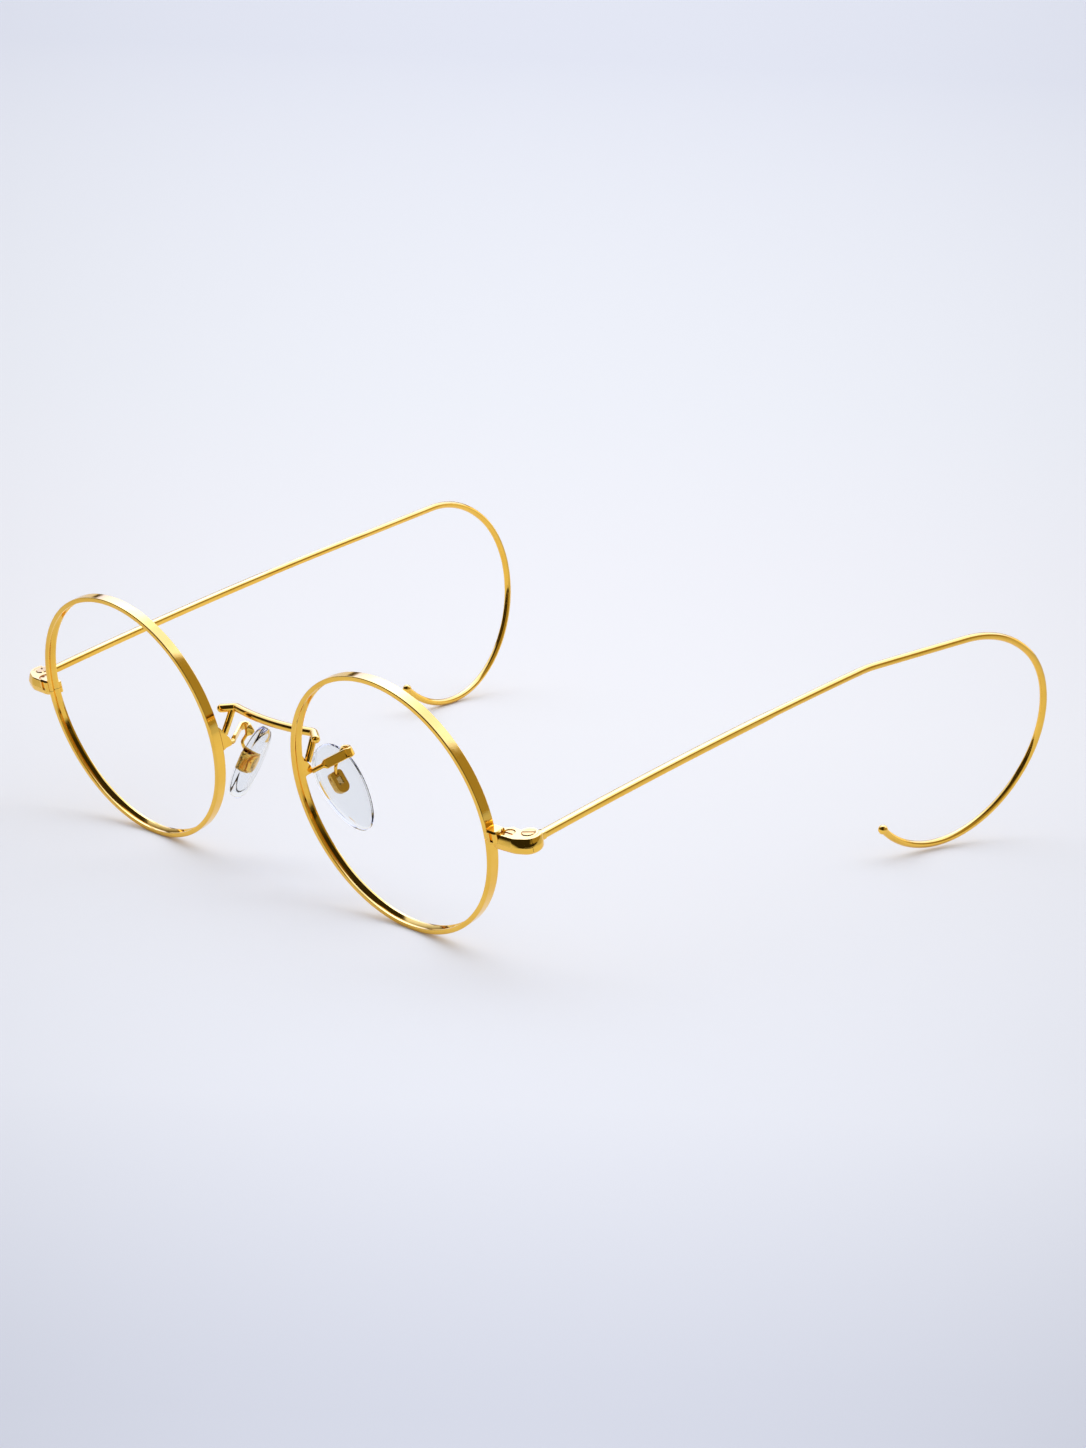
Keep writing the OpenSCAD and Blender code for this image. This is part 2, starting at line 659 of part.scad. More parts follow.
module bridge_wire() {
    half = half_bridge();
    other = [for (i = [len(half) - 2:-1:0]) [-half[i][0], half[i][1], half[i][2]]];
    r = bridge_d / 2;
    up = [0, 0, 1];
    skin(concat(
        round_end(stub_end, -stub_dir, -1, r, up),
        wire_rings(concat(half, other), r, up),
        round_end(other[len(other) - 1], [-stub_dir[0], stub_dir[1], 0], 1, r, up)
    ));
}

module bridge() {
    color(gold) on_table() bridge_wire();
}

// a flat plate in line with the rim band, that runs on behind it
module bracket_plate() {
    intersection() {
        translate([rim_x, rim_w / 2, 0]) rotate([-90, 0, 0]) difference() {
            cylinder(r = rim_r, h = bracket_back + past, $fn = 180);
            translate([0, 0, -past])
                cylinder(r = lip_r + bracket_in, h = bracket_back + 3 * past, $fn = 180);
        }
        translate([nose_x - past, rim_w / 2, 0]) rotate([90, 0, 90])
            linear_extrude(4 * past) polygon(bracket_edge);
    }
}

module bracket(side) {
    color(gold) on_side(side) bracket_plate();
}

module bridge_post(side) {
    color(gold) on_side(side) difference() {
        rod(post_foot, bridge_corner + post_out * stub_dir, post_d / 2);
        bridge_wire();
        bracket_plate();
    }
}

// the pad arms and the pads

// a pad's frame about its pin: x along its width to the rear, y up its length, z out of its back
module pin_frame(pin, toe) {
    translate(pin) rotate([0, 0, -toe]) rotate([0, -pad_lean, 0]) rotate([90, 0, 90])
        children();
}

module pad_frame(side, pin, toe) {
    on_side(side) pin_frame(pin, toe) translate(-pin_in_pad) children();
}

// the arm's sections along its route: half height, half thickness and corner
arm_wire = [arm_d, arm_d, arm_d] / 2;
arm_flat = [strip_h / 2, strip_t / 2, strip_round];
arm_neck = [neck_d, neck_d, neck_d] / 2;

// rings along an arm's route p, round its turn, round the bend at the top and down its neck
function arm_rings(p, turn_r, top, foot) =
    let (run = p[2] - p[1], d = [run[0], run[1], 0] / norm([run[0], run[1]]), n = [-d[1], d[0], 0],
        turn = [for (a = [0:30:180])
            p[2] + turn_r * ((1 - cos(a)) * n + sin(a) * d) - [0, 0, arm_drop * a / 180]],
        end = turn[len(turn) - 1], u = (top - end) / norm(top - end), v = (foot - top) / norm(foot - top),
        bend = [for (i = [0:neck_steps]) let (f = i / neck_steps)
            top - neck_soft * (1 - f) * (1 - f) * u + neck_soft * f * f * v],
        path = concat([p[0], p[1]], [for (f = [0.03, 0.15, 0.6]) p[1] + f * run], turn,
            [for (f = [0.25, 0.6]) end + f * (top - end)], bend, [foot]),
        sizes = concat([arm_wire, arm_wire, arm_wire], [for (i = [0:9]) arm_flat],
            [0.35 * arm_flat + 0.65 * arm_neck], [for (i = [-1:neck_steps]) arm_neck]))
    [for (i = [0:len(path) - 1])
        ring(path[i], along(path, i), [0, 0, 1], outline(sizes[i][0], sizes[i][1], sizes[i][2]))];

module pad_arm(side, route, turn_r, pin, toe) {
    rise = yaw_pt(lean_pt([neck_rise[1], 0, neck_rise[0]], -pad_lean), toe);
    p = [for (q = route) [nose_x, 0, 0] + q];
    color(gold) on_side(side) difference() {
        union() {
            skin(arm_rings(p, turn_r, pin + rise, pin + neck_foot * rise / norm(rise)));
            pin_frame(pin, toe) rotate([0, 90, 0])
                cylinder(r = lug_r, h = lug_t, center = true);
        }
        bracket_plate();
        pin_frame(pin, toe) rotate([0, 90, 0])
            cylinder(r = pin_d / 2 + running_gap, h = 2 * lug_t, center = true);
    }
}

module box_outline() {
    w = box_w / 2;
    end_y = w - box_len / 2;
    circle_y = box_len / 2 - box_round;
    hull() {
        translate([0, end_y]) circle(w, $fn = 48);
        for (x = [-1, 1]) translate([x * (w - box_round), circle_y]) circle(box_round, $fn = 32);
    }
}

// the metal box on the back of a pad, open at its top for the arm's lug
module pad_box(side, pin, toe) {
    pocket = [lug_t + 2 * slot_gap, box_len, 2 * pin_up];
    color(deep_gold) pad_frame(side, pin, toe) difference() {
        translate([box_mid[0], box_mid[1], seat_z]) linear_extrude(box_t) box_outline();
        translate(pin_in_pad + [-pocket[0] / 2, -pocket_down, -pin_up + box_floor])
            cube([pocket[0], pocket[1], 2 * (pin_up - box_floor)]);
        translate(pin_in_pad + [-window_w / 2, -pocket_down, 0]) cube([window_w, window_len, box_t]);
        translate(pin_in_pad + [-neck_d / 2 - slot_gap, notch_from, 0])
            cube([neck_d + 2 * slot_gap, box_len, box_t]);
        translate(pin_in_pad) rotate([0, 90, 0])
            cylinder(r = pin_d / 2 + pin_gap, h = 2 * box_w, center = true);
    }
}

module pad_pin(side, pin, toe) {
    color(deep_gold) pad_frame(side, pin, toe) translate(pin_in_pad) rotate([0, 90, 0])
        cylinder(r = pin_d / 2, h = box_w - 2 * pin_short, center = true);
}

module insert_plate(z0) {
    r = insert_w / 2;
    d = insert_len / 2 - r;
    translate([box_mid[0], box_mid[1], z0]) linear_extrude(insert_t) hull()
        for (y = [-d, d]) translate([0, y]) circle(r, $fn = 40);
}

module pad_insert(side, pin, toe) {
    color(gold) pad_frame(side, pin, toe) insert_plate(seat_z - insert_t);
}

// a pad's outline at a height, drawn in by a margin
function egg(z, m) = [
    for (i = [0:egg_sides - 1]) let (a = 360 * i / egg_sides)
        [(pad_w / 2 - m) * cos(a) * (1 + egg_skew * sin(a)), (pad_len / 2 - m) * sin(a), z]
];

// heights through the pad, as shares of its half thickness, and the margin at each
egg_layers = [
    [-1, 2.6], [-0.94, 1.6], [-0.78, 0.8], [-0.45, 0.2],
    [0, 0], [0.5, 0], [0.86, 0.25], [1, 0.6]
];

module nose_pad(side, pin, toe) {
    color(clear) pad_frame(side, pin, toe) difference() {
        skin([for (e = egg_layers) egg(e[0] * pad_t / 2, e[1])]);
        insert_plate(seat_z - insert_t);
        translate([box_mid[0], box_mid[1], seat_z]) linear_extrude(box_t) box_outline();
    }
}

rim(1);  // rim_left
rim(-1);  // rim_right
joint_upper(1);  // joint_upper_left
joint_upper(-1);  // joint_upper_right
joint_lower(1);  // joint_lower_left
joint_lower(-1);  // joint_lower_right
closing_screw(1);  // closing_screw_left
closing_screw(-1);  // closing_screw_right
hinge_screw(1);  // hinge_screw_left
hinge_screw(-1);  // hinge_screw_right
temple_bar(1);  // temple_bar_left
temple_bar(-1);  // temple_bar_right
temple_wire(1, curl_lean_left);  // temple_wire_left
temple_wire(-1, curl_lean_right);  // temple_wire_right
temple_tip(1, curl_lean_left);  // temple_tip_left
temple_tip(-1, curl_lean_right);  // temple_tip_right
bridge();
bridge_post(1);  // bridge_post_left
bridge_post(-1);  // bridge_post_right
bracket(1);  // bracket_left
bracket(-1);  // bracket_right
pad_arm(1, arm_left, turn_left, pin_left, pad_toe_left);  // pad_arm_left
pad_arm(-1, arm_right, turn_right, pin_right, pad_toe_right);  // pad_arm_right
pad_box(1, pin_left, pad_toe_left);  // pad_box_left
pad_box(-1, pin_right, pad_toe_right);  // pad_box_right
pad_pin(1, pin_left, pad_toe_left);  // pad_pin_left
pad_pin(-1, pin_right, pad_toe_right);  // pad_pin_right
pad_insert(1, pin_left, pad_toe_left);  // pad_insert_left
pad_insert(-1, pin_right, pad_toe_right);  // pad_insert_right
nose_pad(1, pin_left, pad_toe_left);  // nose_pad_left
nose_pad(-1, pin_right, pad_toe_right);  // nose_pad_right
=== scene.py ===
import json
import math

import bmesh
import bpy
from mathutils import Matrix, Vector


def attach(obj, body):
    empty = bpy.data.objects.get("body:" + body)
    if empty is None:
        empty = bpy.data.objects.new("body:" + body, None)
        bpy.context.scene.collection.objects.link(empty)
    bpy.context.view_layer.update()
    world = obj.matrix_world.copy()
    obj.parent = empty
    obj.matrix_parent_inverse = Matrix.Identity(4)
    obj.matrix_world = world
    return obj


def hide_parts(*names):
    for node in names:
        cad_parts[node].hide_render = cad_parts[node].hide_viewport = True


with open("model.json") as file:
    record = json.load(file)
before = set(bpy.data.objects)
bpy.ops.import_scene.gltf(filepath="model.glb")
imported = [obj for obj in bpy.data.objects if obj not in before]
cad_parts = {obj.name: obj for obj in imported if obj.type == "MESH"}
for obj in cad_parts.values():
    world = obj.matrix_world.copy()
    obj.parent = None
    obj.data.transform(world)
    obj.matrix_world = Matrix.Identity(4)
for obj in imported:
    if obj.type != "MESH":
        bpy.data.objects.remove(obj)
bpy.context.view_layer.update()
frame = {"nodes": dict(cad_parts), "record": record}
record = frame["record"]
nodes = frame["nodes"]
sides = {"left": 1, "right": -1}

# The front's own frame, in millimetres: x to the wearer's left, y back to the ears, z up in the lens plane.
mounts = {m["name"]: m for m in record["mounts"]}
seatLeft, seatRight = (Vector(mounts["lens_seat_" + side]["pos_m"]) for side in sides)
frontX = (seatLeft - seatRight).normalized()
frontY = -Vector(mounts["lens_seat_left"]["axis"]).normalized()
frontZ = frontX.cross(frontY)
frontTurn = Matrix((frontX, frontY, frontZ)).transposed().to_4x4()
frontPlace = Matrix.Translation((seatLeft + seatRight) / 2) @ frontTurn @ Matrix.Scale(0.001, 4)


def sidePlace(sign):
    return frontPlace @ Matrix.Scale(sign, 4, (1, 0, 0))


# The spot, the angles and the lens that the photograph was solved for
cameraSetup = {"place": (0.390498, -0.401686, 0.173743), "azimuth": 43.635, "elevation": 15.51,
               "roll": 2.441, "focalPx": 3160.9, "longSidePx": 1448, "sensor": 36, "clipStart": 0.01}


def makeCamera():
    setup = cameraSetup
    az, el, roll = (math.radians(setup[k]) for k in ("azimuth", "elevation", "roll"))
    ahead = Vector((-math.sin(az) * math.cos(el), math.cos(az) * math.cos(el), -math.sin(el)))
    right = ahead.cross(Vector((0, 0, 1))).normalized()
    up = right.cross(ahead)
    rolledRight = math.cos(roll) * right + math.sin(roll) * up
    rolledUp = -math.sin(roll) * right + math.cos(roll) * up
    camera = bpy.data.objects.new("camera", bpy.data.cameras.new("camera"))
    camera.data.sensor_width = setup["sensor"]
    camera.data.lens = setup["focalPx"] * setup["sensor"] / setup["longSidePx"]
    camera.data.clip_start = setup["clipStart"]
    turn = Matrix((rolledRight, rolledUp, -ahead)).transposed().to_4x4()
    camera.matrix_world = Matrix.Translation(setup["place"]) @ turn
    bpy.context.scene.collection.objects.link(camera)
    bpy.context.scene.camera = camera


makeCamera()
print("camera made")


# Shader helpers

def addNode(tree, kind, inputs=None, **settings):
    node = tree.nodes.new(kind)
    for key, value in settings.items():
        setattr(node, key, value)
    for key, value in (inputs or {}).items():
        if isinstance(value, bpy.types.NodeSocket):
            tree.links.new(value, node.inputs[key])
        else:
            node.inputs[key].default_value = value
    return node


def ranged(tree, value, fromMin, fromMax, toMin=0.0, toMax=1.0, smooth=False):
    node = addNode(tree, "ShaderNodeMapRange", {"Value": value, "From Min": fromMin, "From Max": fromMax,
                   "To Min": toMin, "To Max": toMax})
    node.interpolation_type = "SMOOTHSTEP" if smooth else "LINEAR"
    return node.outputs[0]


def maths(tree, operation, a, b=0.0):
    return addNode(tree, "ShaderNodeMath", {0: a, 1: b}, operation=operation).outputs[0]


def dotted(tree, a, b):
    return addNode(tree, "ShaderNodeVectorMath", {0: a, 1: b}, operation="DOT_PRODUCT").outputs["Value"]


def blended(tree, factor, a, b):
    node = addNode(tree, "ShaderNodeMix", {"Factor": factor, "A": a, "B": b}, data_type="RGBA")
    return node.outputs["Result"]


def bumped(tree, height, strength, depth, **onto):
    inputs = {"Height": height, "Strength": strength, "Distance": depth, **onto}
    return addNode(tree, "ShaderNodeBump", inputs).outputs[0]


def mixed(tree, factor, a, b):
    return addNode(tree, "ShaderNodeMixShader", {0: factor, 1: a.outputs[0], 2: b.outputs[0]})


def newMaterial(name):
    material = bpy.data.materials.new(name)
    material.use_nodes = True
    tree = material.node_tree
    tree.nodes.clear()
    return material, tree, tree.nodes.new("ShaderNodeOutputMaterial")


def newGroup(name, inputs, outputs):
    group = bpy.data.node_groups.new(name, "ShaderNodeTree")
    for key, value in inputs.items():
        group.interface.new_socket(key, in_out="INPUT", socket_type="NodeSocketFloat").default_value = value
    for key in outputs:
        group.interface.new_socket(key, in_out="OUTPUT", socket_type="NodeSocketFloat")
    return group, group.nodes.new("NodeGroupInput").outputs, group.nodes.new("NodeGroupOutput").inputs


def placeGroup(tree, group, **values):
    node = addNode(tree, "ShaderNodeGroup", node_tree=group)
    for key, value in values.items():
        node.inputs[key].default_value = value
    return node.outputs


# Hand polished plate: slow waves, fine drawn scratches and patches where the polish is duller
polishScales = {"Waves": 400.0, "Scratches": 4000.0, "Patches": 150.0}
polishNoise = {"Waves": {"Detail": 2.0, "Roughness": 0.4}, "Scratches": {"Detail": 3.0, "Roughness": 0.7},
               "Patches": {"Detail": 5.0, "Roughness": 0.6}}
scratchStretch = (1.0, 0.12, 1.0)


def makeHandPolish():
    group, entry, leave = newGroup("handPolish", polishScales, polishNoise)
    spot = addNode(group, "ShaderNodeTexCoord").outputs["Object"]
    stretched = addNode(group, "ShaderNodeMapping", {"Vector": spot, "Scale": scratchStretch}).outputs[0]
    for name, grain in polishNoise.items():
        place = stretched if name == "Scratches" else spot
        noise = addNode(group, "ShaderNodeTexNoise", {"Vector": place, "Scale": entry[name], **grain})
        group.links.new(noise.outputs["Fac"], leave[name])
    return group


# Where an edge stands proud, and its plate is rubbed brighter: by how far the softened normal turns
edgeWear = {"radius": 0.0001, "samples": 4, "unworn": 0.995, "worn": 0.9}


def makeWornEdges():
    group, entry, leave = newGroup("wornEdges", {"Radius": edgeWear["radius"]}, ("Mask",))
    rounded = addNode(group, "ShaderNodeBevel", {"Radius": entry["Radius"]}, samples=edgeWear["samples"])
    plain = addNode(group, "ShaderNodeNewGeometry").outputs["Normal"]
    facing = dotted(group, rounded.outputs[0], plain)
    group.links.new(ranged(group, facing, edgeWear["unworn"], edgeWear["worn"]), leave["Mask"])
    return group


handPolish = makeHandPolish()
wornEdges = makeWornEdges()

# Which part of each noise counts, and how deep the bumps are in metres, for all three golds
goldNoise = {"tone": (0.35, 0.65), "roughness": (0.35, 0.75), "dull": (0.45, 0.7),
             "scratchDepth": 0.00001, "waveDepth": 0.0001}


def makeGold(name, look):
    material, tree, out = newMaterial(name)
    polish = placeGroup(tree, handPolish, **look["polish"])
    worn = placeGroup(tree, wornEdges, Radius=look["edge"])["Mask"]
    tone = ranged(tree, polish["Patches"], *goldNoise["tone"])
    plate = blended(tree, tone, look["colour"], look["deepColour"])
    colour = blended(tree, maths(tree, "MULTIPLY", worn, look["wear"]), plate, look["wornColour"])
    rough = ranged(tree, polish["Scratches"], *goldNoise["roughness"], *look["roughness"])
    dull = ranged(tree, polish["Patches"], *goldNoise["dull"], 0.0, look["dull"])
    fine = bumped(tree, polish["Scratches"], look["scratch"], goldNoise["scratchDepth"])
    wavy = bumped(tree, polish["Waves"], look["wave"], goldNoise["waveDepth"], Normal=fine)
    shader = addNode(tree, "ShaderNodeBsdfPrincipled", {"Base Color": colour, "Metallic": 1.0,
                     "Roughness": maths(tree, "ADD", rough, dull), "Normal": wavy})
    tree.links.new(shader.outputs[0], out.inputs["Surface"])
    return material


goldLook = {"colour": (0.96, 0.59, 0.1, 1), "deepColour": (0.9, 0.52, 0.07, 1),
            "wornColour": (0.95, 0.68, 0.2, 1), "roughness": (0.05, 0.11), "dull": 0.05,
            "polish": {"Waves": 300.0, "Scratches": 5000.0, "Patches": 120.0},
            "scratch": 0.15, "wave": 0.12, "edge": 0.00008, "wear": 0.5}
deepLook = {"colour": (0.72, 0.43, 0.07, 1), "deepColour": (0.58, 0.33, 0.05, 1),
            "wornColour": (0.9, 0.6, 0.15, 1), "roughness": (0.12, 0.24), "dull": 0.12,
            "polish": {"Waves": 700.0, "Scratches": 7000.0, "Patches": 400.0},
            "scratch": 0.25, "wave": 0.15, "edge": 0.00012, "wear": 0.8}
paleLook = {"colour": (0.8, 0.62, 0.3, 1), "deepColour": (0.7, 0.52, 0.22, 1),
            "wornColour": (0.95, 0.8, 0.45, 1), "roughness": (0.22, 0.34), "dull": 0.1,
            "polish": {"Waves": 900.0, "Scratches": 9000.0, "Patches": 500.0},
            "scratch": 0.3, "wave": 0.1, "edge": 0.00006, "wear": 0.6}
gold = makeGold("goldPlate", goldLook)
deepGold = makeGold("deepGoldPlate", deepLook)
paleGold = makeGold("paleGoldPlate", paleLook)

# Clear plastic, browner where it is seen edge on: painted shade standing in for the dark room that its edges
# would show
clearLook = {"colour": (0.985, 0.98, 0.97, 1), "edgeShadeColour": (0.8, 0.71, 0.58, 1), "ior": 1.28,
             "polish": {"Waves": 250.0, "Scratches": 2500.0, "Patches": 300.0},
             "patches": (0.3, 0.7), "roughness": (0.02, 0.06), "wave": 0.08, "waveDepth": 0.0001,
             "facing": 0.3, "edgeOn": (0.45, 0.95)}


def makeClear(name, look):
    material, tree, out = newMaterial(name)
    polish = placeGroup(tree, handPolish, **look["polish"])
    rough = ranged(tree, polish["Patches"], *look["patches"], *look["roughness"])
    wavy = bumped(tree, polish["Waves"], look["wave"], look["waveDepth"])
    facing = addNode(tree, "ShaderNodeLayerWeight", {"Blend": look["facing"]}).outputs["Facing"]
    # painted shade: the parts seen edge on are coloured brown
    colour = blended(tree, ranged(tree, facing, *look["edgeOn"]), look["colour"], look["edgeShadeColour"])
    shader = addNode(tree, "ShaderNodeBsdfPrincipled", {"Base Color": colour, "Transmission Weight": 1.0,
                     "IOR": look["ior"], "Roughness": rough, "Normal": wavy})
    tree.links.new(shader.outputs[0], out.inputs["Surface"])
    return material


clearPlastic = makeClear("clearPlastic", clearLook)
print("materials made")


# Geometry helpers: distances in metres, angles in degrees
meshRules = {"merge": 1e-7, "sharpAngle": 35, "weight": 100}
# the radius that a round end closes at, in millimetres
closedEnd = 0.004


def settled(ob):
    # the object's modifiers made into its plain mesh
    bpy.context.view_layer.update()
    graph = bpy.context.evaluated_depsgraph_get()
    me = bpy.data.meshes.new_from_object(ob.evaluated_get(graph), depsgraph=graph)
    ob.modifiers.clear()
    ob.data = me


def linked(name, me):
    ob = bpy.data.objects.new(name, me)
    bpy.context.scene.collection.objects.link(ob)
    return ob


def filleted(corners, steps=5):
    # corners of a closed outline, each (x, y, radius), with the corners rounded off
    points = []
    for i, (x, y, r) in enumerate(corners):
        here = Vector((x, y))
        if r <= 0:
            points.append(here)
            continue
        before = (Vector(corners[i - 1][:2]) - here).normalized()
        after = (Vector(corners[(i + 1) % len(corners)][:2]) - here).normalized()
        half = math.acos(max(-1, min(1, before.dot(after)))) / 2
        start, end = here + before * r / math.tan(half), here + after * r / math.tan(half)
        centre = here + (before + after).normalized() * r / math.sin(half)
        a, b = start - centre, end - centre
        sweep = a.angle_signed(b)
        for k in range(steps + 1):
            t = -sweep * k / steps
            points.append(centre + Vector((a.x * math.cos(t) - a.y * math.sin(t),
                                           a.x * math.sin(t) + a.y * math.cos(t))))
    return points


def makeSweepTree():
    # a profile swept along a path, scaled by the path's own "thick" value
    tree = bpy.data.node_groups.new("sweptBand", "GeometryNodeTree")
    ids = {}
    for name, kind in (("Path", "Geometry"), ("Profile", "Object"), ("Metal", "Material")):
        socket = tree.interface.new_socket(name, in_out="INPUT", socket_type="NodeSocket" + kind)
        ids[name] = socket.identifier
    tree.interface.new_socket("Band", in_out="OUTPUT", socket_type="NodeSocketGeometry")
    entry, leave = tree.nodes.new("NodeGroupInput"), tree.nodes.new("NodeGroupOutput")
    path = addNode(tree, "GeometryNodeMeshToCurve", {"Mesh": entry.outputs["Path"]})
    facing = addNode(tree, "GeometryNodeSetCurveNormal", {"Curve": path.outputs[0]}, mode="Z_UP")
    thick = addNode(tree, "GeometryNodeInputNamedAttribute", {"Name": "thick"}, data_type="FLOAT")
    section = addNode(tree, "GeometryNodeObjectInfo", {"Object": entry.outputs["Profile"]})
    outline = addNode(tree, "GeometryNodeMeshToCurve", {"Mesh": section.outputs["Geometry"]})
    band = addNode(tree, "GeometryNodeCurveToMesh", {"Curve": facing.outputs[0],
                   "Profile Curve": outline.outputs[0], "Scale": thick.outputs["Attribute"],
                   "Fill Caps": True})
    real = addNode(tree, "GeometryNodeRealizeInstances", {"Geometry": band.outputs[0]})
    metal = addNode(tree, "GeometryNodeSetMaterial", {"Geometry": real.outputs[0],
                    "Material": entry.outputs["Metal"]})
    tree.links.new(metal.outputs[0], leave.inputs["Band"])
    return tree, ids


sweptBand, sweptIds = makeSweepTree()


def polyline(name, points, thick=None, closed=False):
    me = bpy.data.meshes.new(name)
    edges = [(i, i + 1) for i in range(len(points) - 1)]
    if closed:
        edges.append((len(points) - 1, 0))
    me.from_pydata([Vector(p).to_3d() for p in points], edges, [])
    if thick is not None:
        attribute = me.attributes.new("thick", "FLOAT", "POINT")
        attribute.data.foreach_set("value", thick)
    return linked(name, me)


def outward(me):
    bm = bmesh.new()
    bm.from_mesh(me)
    bmesh.ops.remove_doubles(bm, verts=bm.verts, dist=meshRules["merge"])
    bmesh.ops.recalc_face_normals(bm, faces=bm.faces)
    bm.to_mesh(me)
    bm.free()


def finished(ob, metal, sharpAngle=meshRules["sharpAngle"]):
    # one material, smooth but for the sharp edges, its wide faces kept flat in the shading
    me = ob.data
    me.materials.clear()
    me.materials.append(metal)
    me.shade_smooth()
    me.set_sharp_from_angle(angle=math.radians(sharpAngle))
    modifier = ob.modifiers.new("weigh", "WEIGHTED_NORMAL")
    modifier.keep_sharp = True
    modifier.weight = meshRules["weight"]
    settled(ob)


def swept(name, points, thick, outline, metal, place):
    profile = polyline(name + "Profile", outline, closed=True)
    ob = polyline(name, points, thick)
    modifier = ob.modifiers.new("sweep", "NODES")
    modifier.node_group = sweptBand
    modifier[sweptIds["Profile"]] = profile
    modifier[sweptIds["Metal"]] = metal
    settled(ob)
    bpy.data.objects.remove(profile)
    ob.data.transform(place)
    outward(ob.data)
    finished(ob, metal)
    return ob


def skin(name, rings, metal, place, sharpAngle=meshRules["sharpAngle"]):
    # a closed skin over rings that all have as many points
    n = len(rings[0])
    faces = [[j * n + i, j * n + (i + 1) % n, (j + 1) * n + (i + 1) % n, (j + 1) * n + i]
             for j in range(len(rings) - 1) for i in range(n)]
    faces += [list(range(n))[::-1], [(len(rings) - 1) * n + i for i in range(n)]]
    me = bpy.data.meshes.new(name)
    me.from_pydata([p for ring in rings for p in ring], [], faces)
    ob = linked(name, me)
    me.transform(place)
    outward(me)
    finished(ob, metal, sharpAngle)
    return ob


def ride(ob, body, slot, *replaced):
    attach(ob, body)
    if replaced:
        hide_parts(*replaced)


def circle(radius, count=32):
    angles = [2 * math.pi * i / count for i in range(count)]
    return [Vector((radius * math.cos(a), radius * math.sin(a))) for a in angles]


def bent(a, corner, b, steps):
    # points of a soft bend from a to b round a corner
    shares = [i / steps for i in range(steps + 1)]
    return [(1 - f) ** 2 * a + 2 * f * (1 - f) * corner + f * f * b for f in shares]


# The rims
rimSize = {"outerDiameter": 46.4, "thickness": 0.86, "width": 1.92, "gap": 20.4, "edgeRound": 0.16,
           "lipRound": 0.07, "grooveDepth": 0.42, "grooveWidth": 1.2, "cut": 0.08, "jointHeight": 0.15,
           "steps": 360}
rimRadius = rimSize["outerDiameter"] / 2
noseX = rimSize["gap"] / 2
rimMiddle = noseX + rimRadius


def rimOutline():
    lip, half, g = rimRadius - rimSize["thickness"], rimSize["width"] / 2, rimSize["grooveWidth"] / 2
    er, lr = rimSize["edgeRound"], rimSize["lipRound"]
    corners = [(rimRadius, -half, er), (rimRadius, half, er), (lip, half, lr), (lip, g, lr / 2),
               (lip + rimSize["grooveDepth"], 0, 0), (lip, -g, lr / 2), (lip, -half, lr)]
    return [p - Vector((rimRadius, 0)) for p in filleted(corners)]


def makeRim(side, sign):
    # drawn flat round the seat, then stood up in the lens plane
    middle = math.asin(rimSize["jointHeight"] / rimRadius)
    half = rimSize["cut"] / 2 / rimRadius
    first, last = middle + half, middle + 2 * math.pi - half
    count = rimSize["steps"]
    angles = [first + (last - first) * i / count for i in range(count + 1)]
    path = [(sign * rimRadius * math.cos(a), rimRadius * math.sin(a), 0) for a in angles][::sign]
    place = frontPlace @ Matrix.Translation((sign * rimMiddle, 0, 0)) @ Matrix.Rotation(math.pi / 2, 4, "X")
    rim = swept("rimBand_" + side, path, [1.0] * len(path), rimOutline(), gold, place)
    ride(rim, "front", "gold", "rim_" + side)


for side, sign in sides.items():
    makeRim(side, sign)
print("rims made")


# The temples: a bowed bar and shaft, then the wire's bend outwards, its reach and its curl
templeSize = {"barLength": 51, "taper": 5, "wire": 1.34, "shaft": 23, "bow": 1290, "splay": 1.2, "drop": 2.3,
              "bendOut": 7.8, "bendDown": 3.1, "bendSoft": 2, "reach": 23.4, "curlRadii": (24.8, 19.3, 21.8),
              "curlTurns": (42.5, 74.2, 107.9), "lean": {"left": 8.2, "right": 3}, "tip": 1.8,
              "shaftSteps": 12, "bendSteps": 8, "reachSteps": 8, "curlSteps": 110, "tipSteps": 24}
hingeSize = {"out": 5.9, "back": 2.45, "barOut": 0.6, "barBack": 2.75, "barLift": 0.05}
sideX = noseX + rimSize["outerDiameter"]
barAt = Vector((sideX + hingeSize["out"] + hingeSize["barOut"], hingeSize["back"] + hingeSize["barBack"],
                rimSize["jointHeight"] + hingeSize["barLift"]))
straight = templeSize["barLength"] + templeSize["taper"] + templeSize["shaft"]
curlTurn = sum(templeSize["curlTurns"])


def aimed(p, yaw, pitch, lean):
    # leans, pitches and yaws a point, in degrees
    return (Matrix.Rotation(math.radians(-yaw), 3, "Z") @ Matrix.Rotation(math.radians(pitch), 3, "X")
            @ Matrix.Rotation(math.radians(lean), 3, "Y") @ Vector(p))


def bowPoint(s):
    r = templeSize["bow"]
    local = (0, r * math.sin(s / r), -r * (1 - math.cos(s / r)))
    return barAt + aimed(local, templeSize["splay"], -templeSize["drop"], 0)


bendAt = bowPoint(straight)
bendYaw = templeSize["splay"] + templeSize["bendOut"]
bendPitch = -templeSize["drop"] - math.degrees(straight / templeSize["bow"]) - templeSize["bendDown"]


def onCurl(q, lean):
    return bendAt + aimed((0, q[0], q[1]), bendYaw, bendPitch, lean)


def curlPoint(turn):
    # along the three bends of the curl, in its own plane
    place, gone = Vector((templeSize["reach"], 0)), 0
    for r, a in zip(templeSize["curlRadii"], templeSize["curlTurns"]):
        stop = min(turn, gone + a)
        for t, sign in ((stop, 1), (gone, -1)):
            t = math.radians(t)
            place = place + sign * r * Vector((math.sin(t), math.cos(t)))
        gone += a
        if turn <= gone:
            break
    return place


